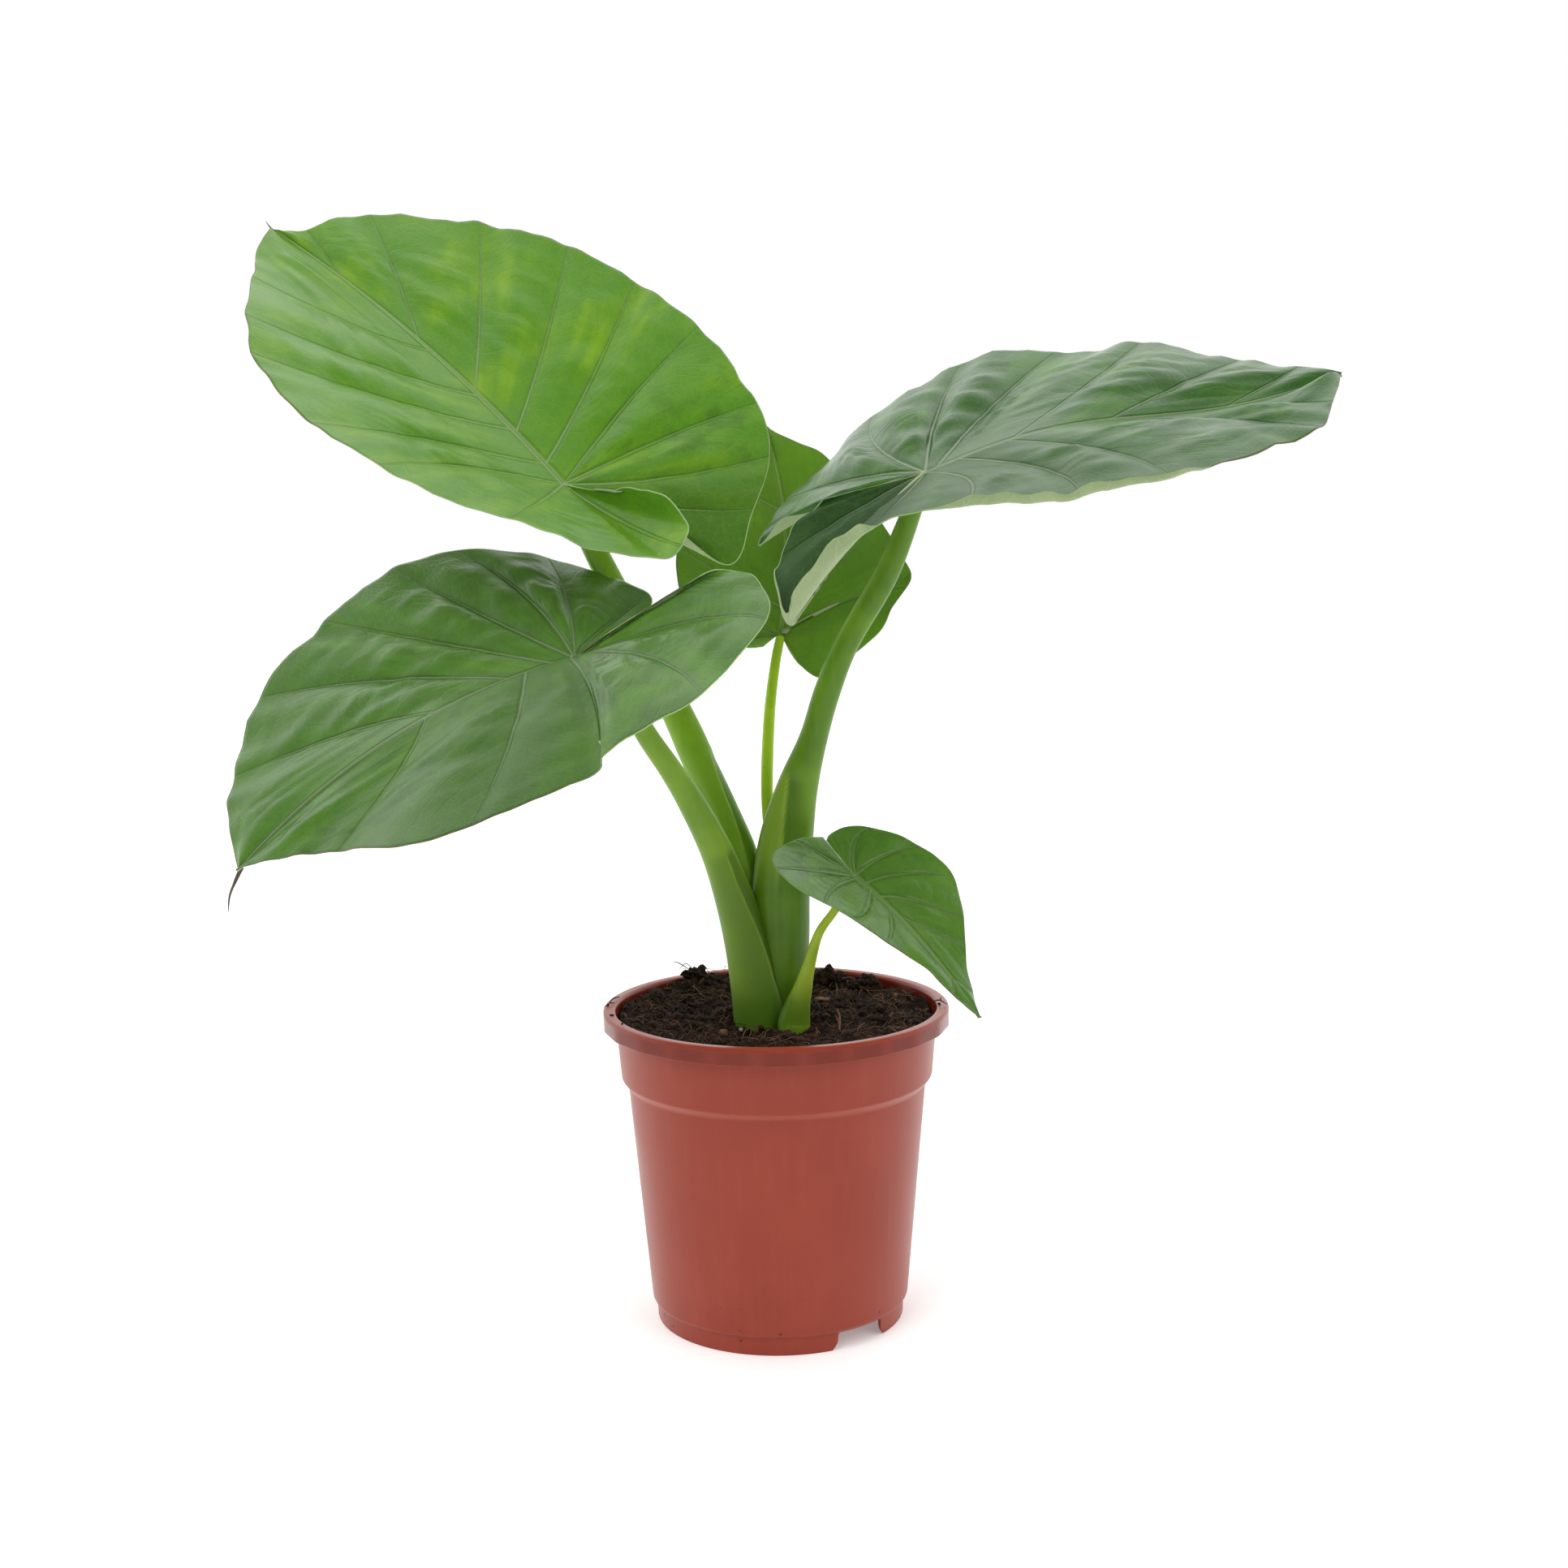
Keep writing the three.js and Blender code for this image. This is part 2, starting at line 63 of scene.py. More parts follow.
camera_data = bpy.data.cameras.new("photo_camera")
camera_data.sensor_width = 36.0
camera_data.lens = camera_lens
camera = new_object("photo_camera", camera_data)
camera.matrix_world = (
    Matrix.Translation(camera_place)
    @ Matrix.Rotation(math.radians(camera_turn), 4, "Z")
    @ Matrix.Rotation(math.radians(camera_tilt), 4, "X")
    @ Matrix.Rotation(math.radians(camera_roll), 4, "Z")
)
bpy.context.scene.camera = camera

# ---- Pot --------------------------------------------------------------------
# A thin injection-moulded nursery pot of terracotta-red plastic: one turned
# wall with a rolled rim, a facetted skirt, a collar step and a foot ring.
# Two drain notches are cut into the foot and eight holes into the channel.
mm = 0.001
pot_height = 156.0
wall = 1.4
foot_radius = 61.2
foot_height = 8.6
body_bottom_radius = 63.6
body_top_radius = 73.2
step_bottom = 118.2
step_top = 122.4
collar_bottom_radius = 76.5
collar_top_radius = 78.6
rim_radius = 85.0
rim_inner_radius = 79.0
skirt_height = 8.4
skirt_bottom = pot_height - skirt_height
skirt_depth = 1.5
disc_radius = 26.0
channel_height = 9.0
base_thickness = 1.5
skirt_facets = 25
facet_depth = 0.62
facet_turn = 8.1
facet_step = 2 * math.pi / skirt_facets
segments_per_facet = 8
notch_centre = -51.0
notch_top_width = 27.0
notch_foot_width = 33.0
notch_depth = 12.0
notch_height = 8.8
drain_holes = 8
drain_hole_radius = 4.5
drain_hole_circle = 46.0
sharp_angle = 38
weld = 1e-6
dirt_bottom = 6.0
dirt_top = 45.0


def rounded(corners, steps=4):
    """An outline through [across, up, rounding] corners, with each rounding as an arc-like curve."""
    outline = []
    for i, (across, up, rounding) in enumerate(corners):
        corner = Vector((across, up))
        if not rounding:
            outline.append(corner)
            continue
        before = Vector(corners[i - 1][:2]) - corner
        after = Vector(corners[(i + 1) % len(corners)][:2]) - corner
        reach = min(rounding, 0.49 * before.length, 0.49 * after.length)
        start = corner + before.normalized() * reach
        end = corner + after.normalized() * reach
        for k in range(steps + 1):
            t = k / steps
            outline.append(start * (1 - t) ** 2 + corner * 2 * t * (1 - t) + end * t ** 2)
    return outline


def mesh_object(name, points, faces):
    """A smooth-shaded mesh object from points in millimetres."""
    mesh = bpy.data.meshes.new(name)
    mesh.from_pydata([tuple(mm * c for c in p) for p in points], [], faces)
    mesh.polygons.foreach_set("use_smooth", [True] * len(mesh.polygons))
    return new_object(name, mesh)


@contextmanager
def edited(made):
    """A piece's mesh, opened for editing and then put back."""
    shape = bmesh.new()
    shape.from_mesh(made.data)
    yield shape
    shape.to_mesh(made.data)
    shape.free()


def clean(made):
    """Merges doubles, so that poles and seams close, and turns the faces of a closed mesh outwards."""
    with edited(made) as shape:
        bmesh.ops.remove_doubles(shape, verts=shape.verts, dist=weld)
        bmesh.ops.recalc_face_normals(shape, faces=shape.faces)


def turned(name, outline, segments):
    """A closed turned piece: its outline runs from the axis, round, and back to the axis."""
    points = []
    for k in range(segments):
        angle = 2 * math.pi * k / segments
        points += [(r * math.cos(angle), r * math.sin(angle), z) for r, z in outline]
    rows = len(outline)
    faces = []
    for k in range(segments):
        here, there = k * rows, (k + 1) % segments * rows
        faces += [(here + i, there + i, there + i + 1, here + i + 1) for i in range(rows - 1)]
    made = mesh_object(name, points, faces)
    clean(made)
    return made


def as_plain_mesh(made):
    """Puts the piece's modifiers into its mesh and takes them off."""
    depsgraph = bpy.context.evaluated_depsgraph_get()
    result = bpy.data.meshes.new_from_object(
        made.evaluated_get(depsgraph), preserve_all_data_layers=True, depsgraph=depsgraph)
    made.modifiers.clear()
    made.data = result


def cut_away(made, cutters):
    """Cuts the cutters out of the piece, and deletes them."""
    for cutter in cutters:
        clean(cutter)
        cut = made.modifiers.new("cut", "BOOLEAN")
        cut.operation = "DIFFERENCE"
        cut.solver = "EXACT"
        cut.object = cutter
    as_plain_mesh(made)
    for cutter in cutters:
        bpy.data.objects.remove(cutter)


def prism(name, outline, reach, place):
    """A prism with an outline in its own YZ plane, reaching both ways along X, put in its place."""
    count = len(outline)
    points = [place @ Vector((x, y, z)) for x in (-reach, reach) for y, z in outline]
    sides = [(i, (i + 1) % count, (i + 1) % count + count, i + count) for i in range(count)]
    return mesh_object(name, points, [*sides, tuple(range(count)), tuple(range(count, 2 * count))])


def pot_outline():
    """The pot's wall as [radius, height]: under the base, up the outside, over the rim, down the inside."""
    floor = channel_height + base_thickness
    inner = [
        (rim_inner_radius, pot_height - 0.2, 1.6),
        (collar_top_radius - wall, skirt_bottom - 1, 1.0),
        (collar_bottom_radius - wall, step_top + 0.8, 1.2),
        (body_top_radius - wall, step_bottom + 0.5, 1.2),
        (body_bottom_radius - wall, floor, 2.4),
        (disc_radius + 4, floor, 1.0),
        (disc_radius, base_thickness, 1.0),
        (0, base_thickness, 0),
    ]
    return rounded([
        (0, 0, 0),
        (disc_radius, 0, 1.0),
        (disc_radius + 4, channel_height, 1.0),
        (foot_radius - wall, channel_height, 1.2),
        (foot_radius - wall, 0, 0.4),
        (foot_radius, 0, 0.5),
        (foot_radius + 0.4, foot_height, 0.5),
        (body_bottom_radius, foot_height + 1.7, 1.2),
        (body_top_radius, step_bottom, 0.5),
        (collar_bottom_radius, step_top, 0.9),
        (collar_top_radius, skirt_bottom - 0.8, 0.8),
        (rim_radius + 0.3, skirt_bottom, 0.7),
        (rim_radius, pot_height, 1.9),
        *inner,
    ])


def facets_round(x, y):
    """How many facets lie between the skirt's first edge and a point, going round."""
    return (math.atan2(y, x) + math.pi / 2 - math.radians(facet_turn)) / facet_step


def facet_skirt(made):
    """Flattens the rim's skirt into shallow facets."""
    for vertex in made.data.vertices:
        x, y, z = (c / mm for c in vertex.co)
        radius = math.hypot(x, y)
        height = (z - skirt_bottom) / skirt_height
        if radius < rim_radius - skirt_depth or height < -0.2:
            continue
        place = facets_round(x, y) % 1
        flat = facet_depth * 4 * place * (1 - place) * (1 - min(max(height - 0.5, 0.0) * 2.2, 1.0))
        vertex.co.xy *= 1 - flat / radius


def sharpen_facets(made):
    """Makes the upright edges between the skirt's facets crisp."""
    for edge in made.data.edges:
        ends = [made.data.vertices[k].co / mm for k in edge.vertices]
        upright = abs(ends[0].z - ends[1].z) > 0.4 * (ends[0] - ends[1]).length
        on_skirt = all(v.xy.length > rim_radius - skirt_depth and v.z < pot_height - 2 for v in ends)
        place = facets_round(ends[0].x, ends[0].y)
        if upright and on_skirt and abs(place - round(place)) < 0.02:
            edge.use_edge_sharp = True


pot = turned("pot_body", pot_outline(), skirt_facets * segments_per_facet)
facet_skirt(pot)

notch_outline = rounded([
    (-notch_foot_width / 2, -2, 0), (-notch_foot_width / 2, 0, 1.5), (-notch_top_width / 2, 3.5, 2.5),
    (-notch_top_width / 2, notch_height, 1.6), (notch_top_width / 2, notch_height, 1.6),
    (notch_top_width / 2, 3.5, 2.5), (notch_foot_width / 2, 0, 1.5), (notch_foot_width / 2, -2, 0),
])
cutters = []
for turn in (notch_centre, notch_centre + 180):
    place = Matrix.Rotation(math.radians(turn), 4, "Z") @ Matrix.Translation((foot_radius, 0, 0))
    cutters.append(prism("drain_notch", notch_outline, notch_depth / 2, place))
for k in range(drain_holes):
    angle = 2 * math.pi * (k + 0.5) / drain_holes
    centre = (drain_hole_circle * math.cos(angle), drain_hole_circle * math.sin(angle), channel_height)
    lying = Matrix.Translation(centre) @ Matrix.Rotation(math.pi / 2, 4, "Y")
    ring = [(drain_hole_radius * math.cos(a), drain_hole_radius * math.sin(a))
            for a in np.linspace(0, 2 * math.pi, 24, endpoint=False)]
    cutters.append(prism("drain_hole", ring, 3.0, lying))
cut_away(pot, cutters)
pot.data.shade_smooth()
pot.data.set_sharp_from_angle(angle=math.radians(sharp_angle))
sharpen_facets(pot)


def node(tree, kind, inputs=None, **settings):
    """Adds a node with its settings. An input takes a value, or a socket to link from."""
    made = tree.nodes.new(kind)
    for key, value in settings.items():
        setattr(made, key, value)
    for key, value in (inputs or {}).items():
        if isinstance(value, bpy.types.NodeSocket):
            tree.links.new(value, made.inputs[key])
        else:
            made.inputs[key].default_value = value
    return made


def new_group(name, kind, inputs, outputs):
    """An empty node group with named sockets, and its input and output nodes."""
    tree = bpy.data.node_groups.new(name, kind)
    for label, (socket_kind, value) in inputs.items():
        socket = tree.interface.new_socket(label, in_out="INPUT", socket_type=socket_kind)
        if value is not None:
            socket.default_value = value
    for label, socket_kind in outputs.items():
        tree.interface.new_socket(label, in_out="OUTPUT", socket_type=socket_kind)
    return tree, tree.nodes.new("NodeGroupInput").outputs, tree.nodes.new("NodeGroupOutput")


def maths(tree, operation, first, second=0.0, clamp=False):
    """The result of one sum on two values or sockets."""
    made = node(tree, "ShaderNodeMath", {0: first, 1: second}, operation=operation, use_clamp=clamp)
    return made.outputs[0]


def times(tree, first, second):
    """Two values multiplied."""
    return maths(tree, "MULTIPLY", first, second)


def plus(tree, first, second):
    """Two values added."""
    return maths(tree, "ADD", first, second)


def minus(tree, first, second):
    """The second value taken from the first."""
    return maths(tree, "SUBTRACT", first, second)


def ranged(tree, value, low, high, to_low=0.0, to_high=1.0):
    """A value brought smoothly from one range to another."""
    inputs = {"Value": value, 1: low, 2: high, 3: to_low, 4: to_high}
    return node(tree, "ShaderNodeMapRange", inputs, interpolation_type="SMOOTHSTEP").outputs[0]


def split(tree, vector):
    """The three values of a vector."""
    return node(tree, "ShaderNodeSeparateXYZ", {0: vector}).outputs


def mixed(tree, share, first, second):
    """Two colours mixed by a share."""
    first, second = (c if isinstance(c, bpy.types.NodeSocket) else (*c, 1.0) for c in (first, second))
    return node(tree, "ShaderNodeMix", {0: share, 6: first, 7: second}, data_type="RGBA").outputs[2]


def tinted(tree, colour, mask, strength, tint):
    """A colour brought some way to a tint where a mask is."""
    return mixed(tree, times(tree, mask, strength), colour, tint)


def placed(tree, group, inputs):
    """The outputs of a node group that is placed with its own values."""
    return node(tree, "ShaderNodeGroup", inputs, node_tree=group).outputs


def new_material(name, **constants):
    """A material with its node tree, its shader, and the object coordinates its patterns use."""
    material = bpy.data.materials.new(name)
    material.use_nodes = True
    tree = material.node_tree
    shader = tree.nodes["Principled BSDF"]
    for label, value in constants.items():
        shader.inputs[label.replace("_", " ")].default_value = value
    coordinates = tree.nodes.new("ShaderNodeTexCoord").outputs["Object"]
    return material, tree, shader, coordinates


def feed(tree, shader, colour, roughness, height, strength, distance):
    """Feeds colour, roughness and a bump of the given height into the shader."""
    bump = node(tree, "ShaderNodeBump", {"Height": height, "Strength": strength, "Distance": distance})
    tree.links.new(colour, shader.inputs["Base Color"])
    tree.links.new(roughness, shader.inputs["Roughness"])
    tree.links.new(bump.outputs["Normal"], shader.inputs["Normal"])


def make_mottle():
    """Soft clouds of tone over a surface, between two levels of a noise."""
    group, given, out = new_group(
        "mottle", "ShaderNodeTree",
        {"Vector": ("NodeSocketVector", None), "Scale": ("NodeSocketFloat", 30.0),
         "Low": ("NodeSocketFloat", 0.35), "High": ("NodeSocketFloat", 0.65),
         "Detail": ("NodeSocketFloat", 3.0)},
        {"Mask": "NodeSocketFloat"})
    clouds = node(group, "ShaderNodeTexNoise",
                  {"Vector": given["Vector"], "Scale": given["Scale"], "Detail": given["Detail"]})
    mask = ranged(group, clouds.outputs["Fac"], given["Low"], given["High"])
    group.links.new(mask, out.inputs["Mask"])
    return group


def make_specks():
    """Scattered small specks, thinned out by a slower noise."""
    group, given, out = new_group(
        "specks", "ShaderNodeTree",
        {"Vector": ("NodeSocketVector", None), "Scale": ("NodeSocketFloat", 200.0),
         "Size": ("NodeSocketFloat", 0.15), "Spread": ("NodeSocketFloat", 0.6)},
        {"Mask": "NodeSocketFloat"})
    cells = node(group, "ShaderNodeTexVoronoi", {"Vector": given["Vector"], "Scale": given["Scale"]})
    edge = times(group, given["Size"], 1.6)
    dots = ranged(group, cells.outputs["Distance"], given["Size"], edge, 1.0, 0.0)
    sieve = node(group, "ShaderNodeSeparateColor", {0: cells.outputs["Color"]}).outputs[0]
    kept = maths(group, "GREATER_THAN", sieve, given["Spread"])
    group.links.new(times(group, dots, kept), out.inputs["Mask"])
    return group


mottle = make_mottle()
specks = make_specks()


def mottled(tree, where, scale, low=0.35, high=0.65, detail=3.0):
    """The mask of soft clouds at a scale."""
    inputs = {"Vector": where, "Scale": scale, "Low": low, "High": high, "Detail": detail}
    return placed(tree, mottle, inputs)["Mask"]


def specked(tree, where, scale, size, spread):
    """The mask of specks at a scale."""
    return placed(tree, specks, {"Vector": where, "Scale": scale, "Size": size, "Spread": spread})["Mask"]


def fine_grain(tree, where, scale):
    """A fine even noise."""
    return node(tree, "ShaderNodeTexNoise", {"Vector": where, "Scale": scale, "Detail": 2.0}).outputs["Fac"]


def stretched(tree, where, across, lengthwise):
    """Coordinates for marks that are drawn out upwards."""
    scale = (across, across, lengthwise)
    return node(tree, "ShaderNodeMapping", {"Vector": where, "Scale": scale}).outputs[0]


def band(tree, value, low, low_end, high, high_end):
    """1 within a band of values, with soft ends."""
    return times(tree, ranged(tree, value, low, low_end), ranged(tree, value, high, high_end, 1.0, 0.0))


def make_pot_plastic():
    """Terracotta-red plastic: mould haze, painted shade on the skirt's facets, a painted highlight on the
    step, dust, and soil at foot and rim.
    """
    material, tree, shader, here = new_material("pot_plastic", Specular_IOR_Level=0.28, IOR=1.49)
    haze = mottled(tree, here, 22.0, 0.3, 0.75)
    colour = mixed(tree, haze, (0.282, 0.039, 0.019), (0.315, 0.048, 0.025))
    streaks = mottled(tree, stretched(tree, here, 260.0, 9.0), 1.0, 0.45, 0.8)
    colour = tinted(tree, colour, streaks, 0.06, (0.50, 0.14, 0.09))
    x, y, height = split(tree, here)
    # Painted shade: the skirt is darkened all round, most in the middle of each facet.
    on_skirt = band(tree, height, *(mm * z for z in (skirt_bottom - 0.2, skirt_bottom + 0.4,
                                                     pot_height - 2.5, pot_height - 0.7)))
    first_edge = 4 * math.pi + math.pi / 2 - math.radians(facet_turn)
    turned_by = plus(tree, maths(tree, "ARCTAN2", y, x), first_edge)
    facet = maths(tree, "DIVIDE", turned_by, facet_step)
    from_edge = maths(tree, "PINGPONG", facet, 0.5)
    painted_skirt_shade = times(tree, on_skirt, ranged(tree, from_edge, 0.0, 0.3, 0.6, 0.85))
    colour = mixed(tree, painted_skirt_shade, colour, (0.150, 0.014, 0.005))
    # Painted highlight: a paler band along the step's slope.
    step_highlight = band(tree, height, *(mm * z for z in (step_bottom + 1.0, step_bottom + 1.5,
                                                    step_top - 0.8, step_top + 0.2)))
    colour = tinted(tree, colour, step_highlight, 0.3, (0.48, 0.12, 0.075))
    low_down = ranged(tree, height, mm * dirt_bottom, mm * dirt_top, 1.0, 0.0)
    at_rim = ranged(tree, height, mm * (pot_height - 2.5), mm * (pot_height - 0.5))
    soiled = maths(tree, "MAXIMUM", low_down, times(tree, at_rim, 0.7))
    grains = specked(tree, here, 210.0, 0.10, 0.86)
    smears = mottled(tree, here, 120.0, 0.62, 0.78)
    dirt = times(tree, maths(tree, "MAXIMUM", grains, times(tree, smears, 0.25)), soiled)
    colour = tinted(tree, colour, dirt, 0.85, (0.035, 0.018, 0.012))
    dust = specked(tree, here, 900.0, 0.12, 0.75)
    colour = tinted(tree, colour, dust, 0.12, (0.62, 0.36, 0.28))
    rough = plus(tree, ranged(tree, haze, 0.0, 1.0, 0.30, 0.38), times(tree, dirt, 0.3))
    rough = minus(tree, rough, times(tree, on_skirt, 0.14))
    relief = plus(tree, times(tree, fine_grain(tree, here, 1400.0), 0.35), times(tree, grains, 0.6))
    feed(tree, shader, colour, rough, relief, 0.22, 0.0002)
    return material


def finish_piece(made, material, material_slot, *replaced):
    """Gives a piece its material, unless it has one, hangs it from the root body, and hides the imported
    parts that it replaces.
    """
    if not made.data.materials:
        made.data.materials.append(material)
    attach(made, "root")
    if replaced:
        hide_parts(*replaced)


finish_piece(pot, make_pot_plastic(), "pot_plastic", "pot")

# ---- Soil -------------------------------------------------------------------
# Dark peat mixed with coir, filled to just under the rim and pressed round the
# stalks. Loose crumbs and fibres lie on it, a clod stands over the back rim,
# and a few grains have fallen on the rim itself.
soil_level = 149.0
soil_gap = 0.3
soil_segments = 280
soil_rings = 84
swell_height = 1.1
heap_height = 4
bank_height = 3.6
dip_depth = 2.8
lump_height = 2.6
crumb_height = 1.8
edge_rise = 1.6
fibre_radius = 0.15
# Clods as a centre and half sizes. The chips of bark, the crumbs on the rim and
# the white grains are given in the same way.
clods = [
    ([-36, 61, 152], [9, 6, 5]), ([-42, 60.5, 157.5], [5.5, 3.6, 3.2]), ([-30, 66, 150], [5, 4, 3.6]),
    ([-46, 58, 151], [6, 5, 4]), ([25, 64, 153], [6, 4.5, 5.5]), ([32, 61, 152], [6, 4.5, 4.5]),
    ([17, 66, 150], [5.5, 4, 4.5]), ([46, 54, 152], [5.5, 5, 5]), ([40, 58, 149], [6, 5, 3.5]),
    ([52, 20, 147], [6, 5, 3]), ([-58, 20, 147], [6, 6, 3]), ([-50, -28, 146.5], [6, 5, 3]),
    ([58, -22, 146.5], [7, 5, 3]), ([30, 38, 147.5], [8, 6, 3.5]), ([-62, 2, 146.5], [5, 6, 3]),
    ([62, 28, 147], [6, 6, 3.5]), ([36, -38, 146.5], [6, 5, 2.6]), ([-22, 62, 148], [6, 5, 3.6]),
]
chips = [
    ([-27, -30, 149.6], [4.4, 4.2, 1.7]), ([24, 31, 150.4], [4.2, 3.6, 1.0]),
    ([60, 33, 151], [3.2, 2.4, 1.1]),
]
rim_crumbs = [
    ([-82.9, 3, 156.2], [0.7, 1.0, 0.4]), ([-79.6, -17, 156.1], [1.0, 0.5, 0.4]),
    ([-73.5, -34, 156.1], [0.5, 0.8, 0.3]), ([79.8, -5, 156.2], [0.8, 0.5, 0.4]),
    ([81.5, 6, 156.2], [0.4, 0.5, 0.3]),
]
perlite = [([-17, -27, 150.4], [0.9, 0.9, 0.8]), ([49, 8, 149.5], [0.6, 0.5, 0.5])]
# Fibres that stand out, as radius, tone, and the points that each runs through.
strands = [
    (0.40, 0.8, [[30.3, 33, 158.7], [31.1, 32.5, 154.5], [29.8, 32, 149]]),
    (0.60, 0.9, [[29.2, -30, 160.5], [30.4, -30.5, 156], [29.6, -31.5, 147]]),
    (0.35, 0.9, [[28.3, -29, 157.5], [30.3, -31, 152.5], [30.0, -32, 147]]),
    (0.40, 0.6, [[21.6, 41.9, 150], [25, 41, 152.6], [29.5, 41.4, 151]]),
    (0.26, 0.5, [[-16.5, -42, 148.5], [-14.5, -32, 151.5], [-7.5, -20, 151]]),
    (0.22, 0.4, [[-13.5, -43, 148.5], [-12, -34, 151], [-9, -27, 151.5], [-5, -22, 149.5]]),
    (0.30, 0.1, [[-53.1, 58, 165], [-50.5, 59, 164.4], [-47, 60, 162], [-43, 61, 159]]),
    (0.25, 0.2, [[-50, 58, 161], [-46.5, 59.5, 163.8], [-43.5, 61, 161]]),
    (0.22, 0.2, [[-34, 60, 157], [-37, 60, 162.4], [-41, 61, 160]]),
    (0.28, 0.8, [[38.5, -38, 148], [39, -36, 152.5], [42.5, -31, 154]]),
    (0.24, 0.5, [[-26, -15, 149.5], [-24, -10, 152], [-22.5, -3, 152]]),
    (0.22, 0.6, [[-54, -13, 149.5], [-49, -19, 151.5], [-45, -25, 149]]),
    (0.26, 0.5, [[-44, 50, 152], [-42, 44, 155], [-37, 36, 152], [-33, 33, 149]]),
    (0.22, 0.6, [[57, 39, 150], [62, 38, 153.5], [67, 30, 152.5], [70, 18, 150]]),
    (0.22, 0.5, [[52, -19, 149.5], [56, -10, 151.5], [58, 5, 150.5]]),
    (0.35, 0.0, [[77.6, -1, 156.4], [80, -5, 158], [83.4, -9, 156.8]]),
    (0.35, 0.0, [[-82.5, 8, 156.4], [-80.5, 12, 157.4], [-78, 18, 156.6]]),
    (0.30, 0.1, [[-84.5, -2, 156.2], [-82, 3, 157.2], [-79.5, 6, 156.4]]),
]


def soil_rise(x, y):
    """How far the soil's top stands above its level at a point."""
    swell = math.sin(x * 0.21 + 1) * math.cos(y * 0.17) + 0.6 * math.sin(x * 0.09 - y * 0.31)
    heap = math.exp(-((x + 38) ** 2 + (y - 58) ** 2) / 110)
    towards_back = min(max((y - 0.5 * x) / 75, 0.0), 1.0)
    bank = towards_back * min(max((math.hypot(x, y) - 58) / 14, 0.0), 1.0)
    lump = noise.fractal(Vector((x, y, 3)) * 0.11, 0.9, 2.1, 3)
    crumb = noise.fractal(Vector((x, y, 9)) * 0.42, 0.8, 2.2, 3)
    dip = math.exp(-x ** 2 / 520 - (y + 24) ** 2 / 150)
    return (swell_height * swell + heap_height * heap + bank_height * bank - dip_depth * dip
            + lump_height * lump + crumb_height * crumb)


def make_soil_bed():
    """The soil's body: it fills the pot, with a lumpy top."""
    clear = wall + soil_gap
    floor = channel_height + base_thickness + soil_gap
    edge = collar_top_radius - clear - 0.3
    side = [
        (0, base_thickness + soil_gap), (disc_radius - 0.4, base_thickness + soil_gap),
        (disc_radius + 3.6, floor), (body_bottom_radius - clear - 1.7, floor),
        (body_bottom_radius - clear, floor + 2), (body_top_radius - clear, step_bottom),
        (collar_bottom_radius - clear, step_top + 1), (edge, soil_level - 4),
    ]
    top = [(edge * (1 - k / soil_rings), soil_level + edge_rise * max(0.0, 1 - 5 * k / soil_rings) ** 2)
           for k in range(soil_rings + 1)]
    bed = turned("soil_bed", [*side, *top], soil_segments)
    for vertex in bed.data.vertices:
        x, y, z = (c / mm for c in vertex.co)
        if z > soil_level - 3:
            vertex.co.z += soil_rise(x, y) * mm
    return bed


def add_lumps(made, lumps, subdivisions=4):
    """Joins rough lumps into a mesh."""
    with edited(made) as shape:
        for seed, (centre, size) in enumerate(lumps):
            ball = bmesh.ops.create_icosphere(shape, subdivisions=subdivisions, radius=1.0)
            for vertex in ball["verts"]:
                way = vertex.co.normalized()
                bulge = 1 + 0.45 * noise.fractal(way * 1.7 + Vector((seed * 7.1, 0, 0)), 0.8, 2.1, 4)
                vertex.co = Vector([mm * (c + s * w * bulge) for c, s, w in zip(centre, size, way)])
    made.data.shade_smooth()


def along(stations, share):
    """The smooth value at a share of a list: a Catmull-Rom curve through its entries."""
    last = len(stations) - 1
    place = min(max(share, 0.0), 1.0) * last
    i = min(int(place), last - 1)
    f = place - i
    before, here, there, after = (
        np.array(stations[k], float) for k in (max(i - 1, 0), i, i + 1, min(i + 2, last)))
    leaving = (there - before) / 2
    arriving = (after - here) / 2
    cubic = 2 * here - 2 * there + leaving + arriving
    square = -3 * here + 3 * there - 2 * leaving - arriving
    return ((cubic * f + square) * f + leaving) * f + here


def store(made, label, values, kind="FLOAT"):
    """Keeps a number, or a vector, for each point of a piece."""
    key = "value" if kind == "FLOAT" else "vector"
    made.data.attributes.new(label, kind, "POINT").data.foreach_set(key, values)


def make_strands(name, courses, one_end=False):
    """Thin tubes along their courses that taper to both ends, or to the last end only."""
    points, faces, tones = [], [], []
    sides, steps = 6, 14
    for widest, tone, course in courses:
        start = len(points)
        centres = np.array([along(course, k / steps) for k in range(steps + 1)])
        runs = np.gradient(centres, axis=0)
        for k, (centre, run) in enumerate(zip(centres, runs)):
            across = np.cross(run, (0.3, 0.2, 1.0))
            across /= np.linalg.norm(across)
            upward = np.cross(across, run / np.linalg.norm(run))
            taper = 1 - 0.85 * k / steps if one_end else 0.35 + 0.65 * math.sin(math.pi * k / steps)
            radius = widest * taper
            for turn in np.linspace(0, 2 * math.pi, sides, endpoint=False):
                points.append(centre + radius * (across * math.cos(turn) + upward * math.sin(turn)))
                tones.append(tone)
        for k in range(steps):
            for m in range(sides):
                a, b = start + k * sides + m, start + k * sides + (m + 1) % sides
                faces.append((a, b, b + sides, a + sides))
        last = start + steps * sides
        faces += [tuple(range(start + sides - 1, start - 1, -1)), tuple(range(last, last + sides))]
    made = mesh_object(name, points, faces)
    store(made, "peat_tone", tones)
    clean(made)
    return made


def loose_lumps(name, lumps, tone, material):
    """A mesh of loose lumps of one tone."""
    made = mesh_object(name, [], [])
    add_lumps(made, lumps, 3)
    store(made, "peat_tone", [tone] * len(made.data.vertices))
    made.data.materials.append(material)
    return made


def stored(tree, label, output="Fac"):
    """What is kept under a name on the piece's points."""
    return node(tree, "ShaderNodeAttribute", attribute_name=label).outputs[output]


